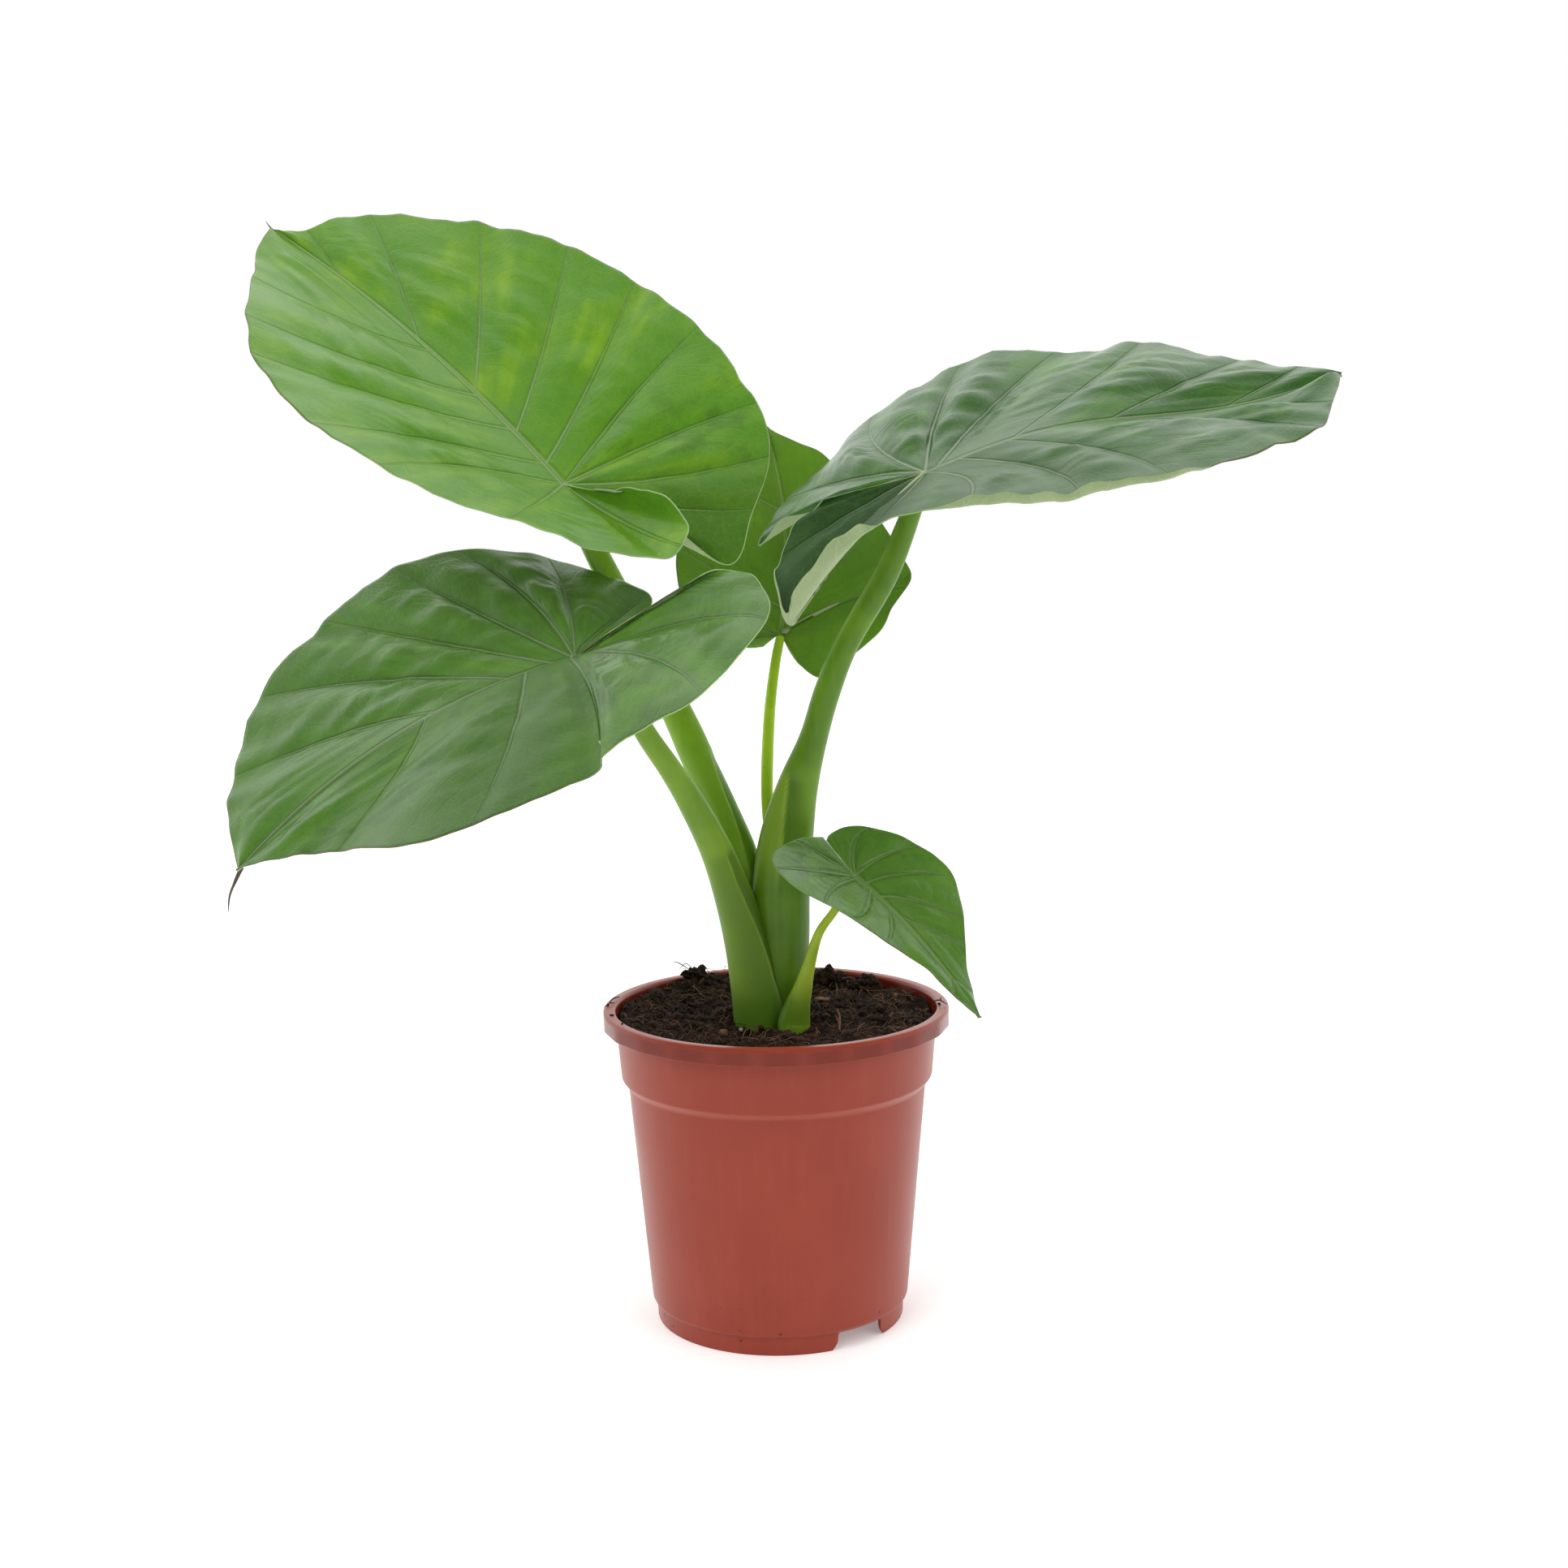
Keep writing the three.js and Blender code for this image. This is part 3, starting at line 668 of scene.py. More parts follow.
def make_dull_finish(name, dark, light, own_tone=False):
    """A dull, grainy finish between two tones. Loose pieces have a place of their own between them."""
    material, tree, shader, here = new_material(name, Specular_IOR_Level=0.2)
    clumps = mottled(tree, here, 190.0, 0.35, 0.7, 5.0)
    grain = mottled(tree, here, 1100.0, 0.4, 0.75)
    share = times(tree, clumps, 0.7)
    if own_tone:
        share = plus(tree, times(tree, clumps, 0.3), times(tree, stored(tree, "peat_tone"), 0.8))
    colour = tinted(tree, mixed(tree, share, dark, light), grain, 0.3, (0.13, 0.066, 0.036))
    rough = ranged(tree, clumps, 0.0, 1.0, 0.82, 0.95)
    feed(tree, shader, colour, rough, plus(tree, clumps, times(tree, grain, 0.5)), 0.6, 0.0008)
    return material


def random_value(tree, low, high, seed):
    """A random number for each point, between two values."""
    made = node(tree, "FunctionNodeRandomValue", {2: low, 3: high, 8: seed}, data_type="FLOAT")
    return made.outputs[1]


def random_turn(tree, tilt, seed):
    """A random turn for each point: any way round, and up to the tilt out of level."""
    made = node(tree, "FunctionNodeRandomValue", {0: (-tilt, -tilt, 0.0), 1: (tilt, tilt, 6.283), 8: seed},
                data_type="FLOAT_VECTOR")
    return made.outputs[0]


scatter_sockets = {
    "Geometry": ("NodeSocketGeometry", None), "Density": ("NodeSocketFloat", 1.0),
    "Smallest": ("NodeSocketFloat", 0.0004), "Largest": ("NodeSocketFloat", 0.0016),
    "Seed": ("NodeSocketInt", 1), "Material": ("NodeSocketMaterial", None),
}


def wander(tree, scale, detail, middle, amount):
    """An offset that wanders with the place, about a middle value of a noise."""
    drift = node(tree, "ShaderNodeTexNoise", {"Scale": scale, "Detail": detail}).outputs["Color"]
    centred = node(tree, "ShaderNodeVectorMath", {0: drift, 1: middle}, operation="SUBTRACT").outputs[0]
    return node(tree, "ShaderNodeVectorMath", {0: centred, "Scale": amount}, operation="SCALE").outputs[0]


def strewn(tree, given, piece, tilt, seed):
    """A piece laid over the given surface again and again, each with its own turn, size and tone."""
    points = node(tree, "GeometryNodeDistributePointsOnFaces",
                  {"Mesh": given["Geometry"], "Density": given["Density"], "Seed": given["Seed"]})
    scale = random_value(tree, given["Smallest"], given["Largest"], seed)
    laid = node(tree, "GeometryNodeInstanceOnPoints",
                {"Points": points.outputs["Points"], "Instance": piece,
                 "Rotation": random_turn(tree, tilt, seed + 1), "Scale": scale})
    tone = random_value(tree, 0.0, 1.0, seed + 2)
    toned = node(tree, "GeometryNodeStoreNamedAttribute",
                 {"Geometry": laid.outputs[0], "Name": "peat_tone", "Value": tone},
                 data_type="FLOAT", domain="INSTANCE")
    return node(tree, "GeometryNodeRealizeInstances", {0: toned.outputs[0]}).outputs[0]


def coat(tree, given, out, geometry):
    """Ends a tree: gives its geometry the material."""
    coated = node(tree, "GeometryNodeSetMaterial", {0: geometry, "Material": given["Material"]})
    tree.links.new(coated.outputs[0], out.inputs[0])


def make_crumb_tree():
    """Geometry Nodes: broken crumbs, scattered at any turn over a surface."""
    tree, given, out = new_group("scattered_crumbs", "GeometryNodeTree", scatter_sockets,
                                 {"Geometry": "NodeSocketGeometry"})
    ball = node(tree, "GeometryNodeMeshIcoSphere", {"Radius": 1.0, "Subdivisions": 2}).outputs["Mesh"]
    broken = wander(tree, 1.3, 2.0, (0.5, 0.5, 0.5), 1.6)
    crumb = node(tree, "GeometryNodeSetPosition", {"Geometry": ball, "Offset": broken}).outputs[0]
    coat(tree, given, out, strewn(tree, given, crumb, 3.1, 2))
    return tree


def make_fibre_tree():
    """Geometry Nodes: thin bent fibres, scattered nearly level over a surface."""
    tree, given, out = new_group("scattered_fibres", "GeometryNodeTree", scatter_sockets,
                                 {"Geometry": "NodeSocketGeometry"})
    ends = {"Start": (-1.0, 0.0, -0.1), "Middle": (0.1, 0.9, 0.35), "End": (1.0, 0.1, -0.05)}
    bow = node(tree, "GeometryNodeCurveQuadraticBezier", {"Resolution": 6, **ends}).outputs[0]
    laid = strewn(tree, given, bow, 0.45, 5)
    bent = wander(tree, 160.0, 1.0, (0.5, 0.5, 0.44), 0.008)
    wavy = node(tree, "GeometryNodeSetPosition", {"Geometry": laid, "Offset": bent}).outputs[0]
    section = node(tree, "GeometryNodeCurvePrimitiveCircle", {"Resolution": 3, "Radius": fibre_radius * mm})
    tube = node(tree, "GeometryNodeCurveToMesh",
                {"Curve": wavy, "Profile Curve": section.outputs[0], "Fill Caps": True}).outputs[0]
    coat(tree, given, out, tube)
    return tree


def scattered(name, source, tree, material, **values):
    """A plain mesh of what the tree scatters over a copy of the source, kept off the pot's wall."""
    made = new_object(name, source.data.copy())
    modifier = made.modifiers.new(name, "NODES")
    modifier.node_group = tree
    values["Material"] = material
    for socket in tree.interface.items_tree:
        if socket.in_out == "INPUT" and socket.name in values:
            modifier[socket.identifier] = values[socket.name]
    as_plain_mesh(made)
    reach = (collar_top_radius - wall - 1.8) * mm
    for vertex in made.data.vertices:
        if vertex.co.xy.length > reach:
            vertex.co.xy *= reach / vertex.co.xy.length
    return made


def upward_part(source, name):
    """A copy of what a mesh shows from above, inside the rim."""
    made = new_object(name, source.data.copy())
    lowest = (soil_level - 8) * mm
    with edited(made) as shape:
        hidden = [f for f in shape.faces if f.normal.z < 0.15 or f.calc_center_median().z < lowest]
        bmesh.ops.delete(shape, geom=hidden, context="FACES")
    return made


soil = make_soil_bed()
add_lumps(soil, clods)
soil_top = upward_part(soil, "soil_top")
loose_peat = make_dull_finish("loose_peat", (0.009, 0.006, 0.005), (0.060, 0.031, 0.024), True)
coir = make_dull_finish("coir_fibre", (0.026, 0.012, 0.008), (0.36, 0.20, 0.12), True)
white_grain = make_dull_finish("white_grain", (0.45, 0.43, 0.38), (0.75, 0.73, 0.68))
crumb_tree = make_crumb_tree()
fibre_tree = make_fibre_tree()
loose = [
    scattered("soil_fine_crumbs", soil_top, crumb_tree, loose_peat,
              Density=80000.0, Smallest=0.0003, Largest=0.0011, Seed=11),
    scattered("soil_coarse_crumbs", soil_top, crumb_tree, loose_peat,
              Density=22000.0, Smallest=0.0008, Largest=0.0028, Seed=12),
    scattered("soil_fibres", soil_top, fibre_tree, coir,
              Density=17000.0, Smallest=0.0012, Largest=0.0065, Seed=13),
    scattered("soil_long_fibres", soil_top, fibre_tree, coir,
              Density=3400.0, Smallest=0.005, Largest=0.0125, Seed=14),
]
bpy.data.objects.remove(soil_top)
standing = make_strands("soil_strands", strands)
standing.data.materials.append(coir)
loose += [
    standing,
    loose_lumps("soil_chips", chips, 0.45, coir),
    loose_lumps("rim_crumbs", rim_crumbs, 0.1, loose_peat),
    loose_lumps("soil_perlite", perlite, 0.5, white_grain),
]
peat = make_dull_finish("peat", (0.008, 0.006, 0.005), (0.042, 0.024, 0.019))
finish_piece(soil, peat, "peat_soil", "soil")
for made in loose:
    finish_piece(made, None, "peat_soil")

# ---- Corm and roots ---------------------------------------------------------
# The swollen stem that every stalk grows from, with thick roots, buried in the
# soil. Its solid is right as it is, so it only gets its brown scaly skin.


def make_corm_skin():
    """Brown skin in rings of old leaf scars, and paler roots lower down."""
    material, tree, shader, here = new_material("corm_skin", Specular_IOR_Level=0.3)
    rings = node(tree, "ShaderNodeTexWave", {"Vector": here, "Scale": 38.0, "Distortion": 3.0, "Detail": 2.0},
                 bands_direction="Z").outputs["Fac"]
    patches = mottled(tree, here, 60.0)
    height = split(tree, here)["Z"]
    colour = mixed(tree, ranged(tree, height, 0.07, 0.10), (0.42, 0.33, 0.20), (0.15, 0.09, 0.045))
    colour = tinted(tree, colour, rings, 0.4, (0.07, 0.04, 0.02))
    colour = tinted(tree, colour, patches, 0.3, (0.30, 0.21, 0.12))
    feed(tree, shader, colour, ranged(tree, patches, 0.0, 1.0, 0.7, 0.85), rings, 0.5, 0.0008)
    return material


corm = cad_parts["corm_and_roots"]
corm.data.materials.clear()
corm.data.materials.append(make_corm_skin())

# ---- Stalks -----------------------------------------------------------------
# Juicy green leaf stalks with smooth skin. Each is round where it carries its
# blade, and opens lower down into a sheath whose thin margin runs into the
# younger stalks that it holds.
stalk_sides = 72
stalk_steps = 110
# Each stalk's sections up its course: [x, y, z, half width, half depth].
stalk_stations = {
    "upper_left": [
        [-8, 9, 127.4, 9, 8], [-9, 10, 146, 10, 9], [-9, 10, 172, 10, 9], [-11, 9, 203, 9, 8.6],
        [-15, 8, 227, 8, 8], [-23, 10, 247, 8, 8], [-37, 14, 278, 8.2, 7.8], [-44, 17, 294, 7.8, 7.4],
        [-61, 22, 330, 6.5, 6.5], [-83, 27, 374, 6, 6], [-98.5, 30, 408, 4.6, 4.6],
    ],
    "lower_left": [
        [-7, -7, 127.4, 11, 10.5], [-8, -8, 146, 12.5, 12], [-8.7, -8, 161, 12.7, 12],
        [-12.5, -8, 185, 11.6, 11], [-19, -10, 210, 9.6, 9.4], [-27.4, -13, 235, 7.8, 8],
        [-38.5, -18, 259, 6.6, 6.6], [-48, -23, 276, 5.6, 5.6], [-58, -27, 292, 5.2, 5.2],
        [-69, -31, 311, 4.8, 4.8], [-88, -35, 329, 3.8, 3.8],
    ],
    "right": [
        [1, 1, 127.4, 11, 10], [2, -1, 146, 12.5, 11], [3, -2, 170, 13, 11.5], [3.5, -2, 192, 13.5, 11.5],
        [3.5, -2, 216, 14, 11], [6.5, -2, 240, 13, 10], [12, -3, 264, 10, 8], [20, -4, 288, 6.9, 6.9],
        [27, -6, 311, 6.4, 6.4], [37, -8, 335, 5.9, 5.9], [56.6, -11, 369, 5.8, 5.8], [73, -15, 411, 4, 4],
    ],
    "back": [
        [1, 2, 127.4, 2.8, 2.8], [1, 2, 150, 3, 3], [1, 2, 190, 3, 3], [-0.5, 5, 226, 2.9, 2.9],
        [-2.5, 9, 250, 2.9, 2.9], [-2.7, 16, 267, 3, 3], [-1.5, 29, 290, 2.9, 2.9], [0, 38, 305, 2.7, 2.7],
        [2.5, 49, 321, 2.5, 2.5], [5, 59, 332, 2.2, 2.2],
    ],
    "small": [
        [7, -15, 127.4, 6, 5], [8.5, -21, 146, 7.5, 7], [8.6, -21, 152, 7.8, 7], [10.5, -21.5, 161, 6.2, 6],
        [13, -22.5, 169, 4.6, 4.4], [16, -24, 180.5, 3.1, 3.1], [21, -27, 197, 2.2, 2.2],
        [29, -29, 209, 2, 2], [37, -30, 223, 1.8, 1.8],
    ],
}
# Each sheath margin is a step in depth along a line of [height, angle round
# the stalk] points, with 0 to the right, -90 to the front and 180 to the left.
sheath_margins = {
    "upper_left": (0.9, [[232, -72], [240, -64], [249, -56], [258, -52], [267, -44], [278, -28]]),
    "lower_left": (0.9, [[160, -24], [171, -38], [194, -46], [219, -58], [230, -54], [237, -50]]),
    "right": (1.3, [[232, -96], [242, -100], [250, -106], [262, -118], [272, -140]]),
    "small": (0.6, [[148, -128], [154, -124], [162, -136], [165, -146], [168, -160]]),
}


def smooth_step(low, high, value):
    """0 below low, 1 above high, and a smooth rise between them."""
    t = np.clip((value - low) / (high - low), 0.0, 1.0)
    return t * t * (3 - 2 * t)


def sheath_at(step, margin, height, angle):
    """Beside a sheath's margin: how far a point is set in, and how much it is wing, edge and hollow; the edge
    takes a painted highlight and the hollow a painted shade.
    """
    heights, angles = zip(*margin)
    line = np.interp(height, heights, angles)
    turn = (angle - line + 180) % 360 - 180
    fade = smooth_step(heights[0] - 25, heights[0] + 10, height)
    fade *= 1 - smooth_step(heights[-1] - 6, heights[-1], height)
    hollow = fade * smooth_step(-1.5, 3.0, turn) * (1 - smooth_step(20, 70, turn))
    wing = fade * (1 - smooth_step(-1.5, 1.5, turn)) * (1 - smooth_step(40, 100, -turn))
    edge = fade * math.exp(-((turn + 3) / 4) ** 2)
    return step * hollow, (wing, edge, hollow)


def make_stalk(name):
    """A stalk of oval sections along its stations, closed at both ends, with its sheath margin."""
    stations = stalk_stations[name]
    centres = np.array([along(stations, i / stalk_steps) for i in range(stalk_steps + 1)])
    runs = np.gradient(centres[:, :3], axis=0)
    runs /= np.linalg.norm(runs, axis=1)[:, None]
    points, tints = [], []
    for (x, y, z, across, deep), run in zip(centres, runs):
        side = np.array([1.0, 0, 0]) - run * run[0]
        side /= np.linalg.norm(side)
        front = np.cross(run, side)
        for k in range(stalk_sides):
            angle = 360 * k / stalk_sides
            inset, tint = 0.0, (0.0, 0.0, 0.0)
            if name in sheath_margins:
                inset, tint = sheath_at(*sheath_margins[name], z, angle)
            c, s = math.cos(math.radians(angle)), math.sin(math.radians(angle))
            points.append(np.array([x, y, z]) + side * (across - inset) * c + front * (deep - inset) * s)
            tints += tint
    faces = []
    for i in range(stalk_steps):
        for k in range(stalk_sides):
            a, b = i * stalk_sides + k, i * stalk_sides + (k + 1) % stalk_sides
            faces.append((a, b, b + stalk_sides, a + stalk_sides))
    top = stalk_steps * stalk_sides
    faces += [tuple(reversed(range(stalk_sides))), tuple(range(top, top + stalk_sides))]
    made = mesh_object(f"{name}_stalk", points, faces)
    store(made, "sheath", tints, "FLOAT_VECTOR")
    return made


def make_stalk_skin(name, deep, pale, wing, hollow, foot, foot_top=0.176):
    """Smooth green skin with fine streaks, its own tones on the wing and low down, painted shade in the
    hollow and a painted highlight along the sheath's margin.
    """
    material, tree, shader, here = new_material(
        name, Specular_IOR_Level=0.30, Subsurface_Weight=0.2, Subsurface_Scale=0.004)
    shader.inputs["Subsurface Radius"].default_value = (0.6, 1.0, 0.1)
    streaks = mottled(tree, stretched(tree, here, 420.0, 16.0), 1.0, 0.35, 0.75)
    clouds = mottled(tree, here, 34.0, 0.3, 0.7)
    height = split(tree, here)["Z"]
    colour = mixed(tree, clouds, deep, pale)
    colour = tinted(tree, colour, streaks, 0.35, pale)
    # The sheath's hollow takes a painted shade, and its margin a painted highlight.
    on_wing, margin_highlight, hollow_shade = split(tree, stored(tree, "sheath", "Vector"))
    colour = tinted(tree, colour, on_wing, 0.8, wing)
    colour = tinted(tree, colour, hollow_shade, 0.75, hollow)
    colour = tinted(tree, colour, margin_highlight, 0.6, (0.30, 0.42, 0.06))
    colour = mixed(tree, ranged(tree, height, foot_top - 0.026, foot_top, 0.85, 0.0), colour, foot)
    colour = tinted(tree, colour, specked(tree, here, 260.0, 0.07, 0.93), 0.6, (0.05, 0.06, 0.01))
    feed(tree, shader, colour, ranged(tree, clouds, 0.0, 1.0, 0.36, 0.46), streaks, 0.12, 0.0003)
    return material


# Each stalk's deep and pale green, the tone of its sheath's wing, the painted shade in its hollow
# and the tone of its foot, and the height that the foot's tone ends at, if it isn't the usual one.
stalk_tones = {
    "upper_left": ((0.15, 0.31, 0.014), (0.23, 0.42, 0.024), (0.18, 0.35, 0.018), (0.065, 0.17, 0.006),
                   (0.12, 0.25, 0.014)),
    "lower_left": ((0.130, 0.262, 0.017), (0.21, 0.36, 0.027), (0.125, 0.24, 0.015), (0.055, 0.125, 0.007),
                   (0.10, 0.22, 0.016)),
    "right": ((0.080, 0.190, 0.007), (0.145, 0.285, 0.012), (0.22, 0.35, 0.024), (0.065, 0.15, 0.005),
              (0.080, 0.180, 0.010)),
    "back": ((0.31, 0.51, 0.018), (0.42, 0.62, 0.030), (0.31, 0.51, 0.018), (0.31, 0.51, 0.018),
             (0.20, 0.36, 0.015)),
    "small": ((0.30, 0.46, 0.020), (0.50, 0.62, 0.050), (0.085, 0.21, 0.014), (0.24, 0.36, 0.020),
              (0.115, 0.240, 0.014), 0.182),
}
for name, tones in stalk_tones.items():
    skin = make_stalk_skin(f"{name}_stalk_skin", *tones)
    finish_piece(make_stalk(name), skin, "leaf_stalk", f"{name}_leaf_stalk")

# ---- Leaf blades ------------------------------------------------------------
# Arrow-shaped blades, waxy above and pale beneath. Ribs run from the midrib
# and from the stalk to the margin, the tissue swells and puckers between them,
# and the rim and the lobes wave. Each is one closed mesh, its ribs beneath.
rows_across = 80
columns_between_ribs = 13
blade_thickness = 0.6
rib_thickness = 2.0
quilt_spacing = 16.0
secondary_spacing = 8.0
rim_frill = 0.018
rim_flutter = 2.0
vein_half_width = 0.85
midrib_half_width = 1.8
rim_wave = 22.0
rolled_turn = 2.6
# Each leaf lies in its own frame: forward to the tip, side to its left, and
# up. Both halves start their first veins at the same shares of the midrib,
# and the rest at the stalk. Each vein is [forward, side, up, bow] at the
# margin, and the last is the edge of the notch between the lobes. Ribs are
# the places in that list where a real rib runs, 1 being its first vein, each
# with its own bow. Rolls, curl and tones go by the same places: the width of
# rim that rolls up, how late the blade rises on its way to the margin, and
# how fresh its green is, or below 0 how much painted shade it gets. The
# midrib bows up by its arch and sideways by its sway, and a dip lowers its
# outer half. Quilt, secondary, pucker and ripple are the heights of the
# swellings between the ribs, the fine ribs that cross them, the dimples and
# the margin's waves.
leaves = {
    "upper_left": {
        "at": [-100, 30, 411], "heading": 139, "pitch": 32, "roll": -20.5,
        "length": 264, "arch": 6, "sway": -4, "dip": 0, "shares": [0.75, 0.49, 0.3, 0.16, 0.06],
        "quilt": 2.3, "secondary": 0.10, "pucker": 1.3,
        "left": {
            "curl": [[0, 1.2]], "ripple": 1.5, "rolls": [[13, 0], [14, 3.5], [15, 3]],
            "tones": [[0, 0.2], [3, 0], [8, -0.2], [13, -0.4]],
            "ribs": [[2.2, -24], [3.1, -14], [3.9, -14], [5, 14], [6, 22], [8, 0], [11.4, -14]],
            "veins": [
                [248, 18, 3, -3], [221, 37, 10, -6], [169, 72, 24, -5], [126, 94, 31, -3], [64, 102, 34, 2],
                [22, 91, 31, 6], [-10, 75, 28, 4], [-35, 59, 26, 0], [-63, 42, 24, 0], [-86.3, 17.7, 23, 0],
                [-95, 10.2, 26, 0], [-89.8, -0.9, 31, 0], [-82.7, -4.6, 33, 0], [-66.3, -4.4, 32, 0],
                [-36.9, -2.2, 20, 0]]},
        "right": {
            "curl": [[0, 1.2]], "ripple": 1.5,
            "tones": [[0, 0.2], [2, 0.8], [5, 0.5], [6.2, -0.5], [7.5, -1.2], [9, -1.8], [12, -1.8]],
            "ribs": [[1, -4], [2, -7], [3, -5], [4, -5], [5, -4], [6.1, 8], [7, 8], [8, -10], [9.05, -18]],
            "veins": [
                [246, 11, 5, -4], [234, 43, 14, -8], [181, 78, 26, -3], [130, 98, 33, -3], [84, 107, 36, -4],
                [38, 108, 37, 3], [-29, 95, 32, 5], [-59, 79, 26, -8], [-79, 54, 17, -14], [-95, 30, 7, -8],
                [-88, 22, 6, -4], [-76, 14, 12, 0]]},
    },
    "lower_left": {
        "at": [-91, -35, 331], "heading": -165, "pitch": -30, "roll": -33.5,
        "length": 181, "arch": 15, "sway": -4, "dip": 0, "shares": [0.72, 0.4, 0.17, 0.05],
        "quilt": 3.0, "secondary": 0.12, "pucker": 2.0,
        "left": {
            "curl": [[0, 0.6], [6, 0.65], [8, 0.9]], "ripple": 1.5,
            "tones": [[0, -0.4], [2, -1.3], [4, -1.5], [5.3, -1], [6, -0.3], [9, 0.2], [13, 0.3]],
            "ribs": [[2, -16], [3.3, -16], [4.6, -12], [6.1, -20], [7.9, -28], [11, 0]],
            "veins": [
                [165.2, 14, 7.5, 0], [137.6, 38.4, 15, 0], [104.2, 80.7, 30, 4], [33.6, 98.9, 31, 5],
                [19.7, 94.3, 31, 2], [-24.6, 95.7, 30, 6], [-49.4, 85.8, 30, 4],
                [-75, 72, 26, 2], [-83.4, 48.4, 22, 0], [-78.6, 25.6, 20, 0],
                [-65, 20, 19, 0], [-48, 13, 11, 0], [-33.7, 3.4, 7, 0]]},
        "right": {
            "curl": [[0, 1.2]], "ripple": 1.5,
            "tones": [[0, -0.2], [2, -0.4], [5, -0.4], [7, -0.3], [11, -0.1]],
            "ribs": [[2.1, -20], [3, -13], [4, 0], [5, 2], [6, -13], [7.2, -8], [9.8, 18]],
            "veins": [
                [173, 29, 2, 2], [164, 49, 4, 6], [132, 90, 6, 6], [86, 108, 8, 2], [44, 118, 8, 3],
                [13, 108, 4, -6], [-17, 81, -3, -6], [-34, 62, -9, -6], [-44, 38, -12, -4], [-50, 22, -14, 0],
                [-38, 12, -11, 0]]},
    },
    "right": {
        "at": [74, -15, 414], "heading": 8.5, "pitch": 12, "roll": 22,
        "length": 209, "arch": 3, "sway": 0, "dip": 5, "shares": [0.72, 0.44, 0.21, 0.05],
        "quilt": 3.4, "secondary": 0.14, "pucker": 1.7,
        "left": {
            "curl": [[0, 1.5]], "ripple": 1.5,
            "tones": [[0, 0.8], [2, 0.3], [4, -0.3], [12, -0.8]],
            "ribs": [[1, 0], [2, 0], [3, 6], [4.3, -8], [5.2, -8], [5.9, -22], [8, -4]],
            "veins": [
                [197, 21, 0, 0], [177, 47, 0, -4], [140, 86, 2, -2], [113, 100, 1, 4], [66, 116, 4, 8],
                [-5, 96, -10, 4], [-28, 81, -17, 0], [-57, 58, -24, -4], [-76, 35, -29, -6],
                [-79, 29, -30, -4], [-67, 21, -18, -2], [-50, 13, -12.5, 0]]},
        "right": {
            "curl": [[0, 0.85], [5, 0.9], [7, 1.3]], "ripple": 1,
            "rolls": [[2.6, 0], [3.2, 4], [4, 6], [5, 5.5], [5.5, 1], [6, 0], [6.9, 0], [7.4, 7], [8, 12],
                      [9, 14], [10, 9], [11, 4], [12, 0]],
            "tones": [[0, 0.8], [1.5, 0], [3, -1.3], [6, -1.4], [7, -1.8], [8, -2], [14, -2]],
            "ribs": [[1, 0], [1.9, 6], [3.1, 24], [3.8, 28], [5.1, 24], [7, -5], [9, -8], [12, -4]],
            "veins": [
                [189, 33, 2, 0], [167.1, 61.3, 5, -3], [91.1, 94.1, 15, 0], [33.4, 98.3, 17, 0],
                [-3.6, 89.4, 22, 0], [-29, 91, 25, -2], [-48, 93, 23, -3], [-62, 85, 11, -5],
                [-84, 82, -14, -8], [-89, 85, -18, -8], [-88, 61, -10, -6], [-80, 34, -10, -4],
                [-67, 14, -3, -2], [-52, 8, 3, 0]]},
    },
    "back": {
        "at": [5, 60, 334], "heading": 100, "pitch": 62, "roll": -6,
        "length": 133, "arch": 4, "sway": -8, "dip": 0, "shares": [0.75, 0.5, 0.27, 0.1],
        "quilt": 1.4, "secondary": 0.10, "pucker": 0.8,
        "left": {
            "curl": [[0, 1.5]], "ripple": 1, "tones": [[0, 0]],
            "ribs": [[2, -3], [4, 0], [6, 2], [8, 0]],
            "veins": [
                [121, 17, 3, -2], [97, 32, 6, -3], [70, 42, 9, -2], [48, 48, 10, 0], [36, 50, 10, 0],
                [21, 49, 8, 2], [8, 42, 5, 0], [-1, 32, 2, 0], [-5, 20, -1, 0], [-5, 9, -3, 0]]},
        "right": {
            "curl": [[0, 1.5]], "ripple": 1, "tones": [[0, 0]],
            "ribs": [[2, -3], [3.2, -16], [5.3, 10]],
            "veins": [
                [115, 6, 3, -2], [95, 33, 7, -4], [61, 54, 8, -2], [35, 65, 10, 0], [22, 69, 10, 2],
                [6, 57, 8, 0], [-6, 49, 6, -2], [-21, 28, 3, -4], [-25, 18, -2, -6], [-19, 9, 0, -1],
                [-10, 4, 0, 0]]},
    },
    "small": {
        "at": [38.6, -30, 225], "heading": -14.7, "pitch": -48, "roll": 41,
        "length": 89, "arch": 6, "sway": 0, "dip": 0, "shares": [0.75, 0.45, 0.2, 0.07],
        "quilt": 1.5, "secondary": 0.10, "pucker": 1.2,
        "left": {
            "curl": [[0, 1.3]], "ripple": 0.7,
            "tones": [[0, 0.2], [4, 0.3], [9, 0]],
            "ribs": [[1, 0], [2.6, 2], [3.2, -10], [4.1, -8], [5.3, -6], [6.2, -12]],
            "veins": [
                [78, 6, 1, 0], [67, 12, 3, -1], [53, 23, 5, -1], [33, 38, 6, -1], [17, 38, 6, 2],
                [-9, 25, 5, 2], [-20, 14, 3, -3], [-23, 5, 1, -1], [-22, 0.5, 0, 0]]},
        "right": {
            "curl": [[0, 1.3]], "ripple": 0.7,
            "tones": [[0, 0.2], [4, -0.3], [6, -1], [10, -1]],
            "ribs": [[1, 0], [2.8, 6], [3.7, 9], [4.7, -6], [6.6, -4], [8.8, -6]],
            "veins": [
                [74, 5, 3, 0], [51, 11, 9, -1], [28, 21, 14, 0], [7, 30, 17, 0], [-3, 35, 18, -1],
                [-19, 41, 18, -4], [-30, 38, 15, -4], [-33, 28, 11, -3], [-30, 14, 7, -1], [-24, 1, 3, 0]]},
    },
}


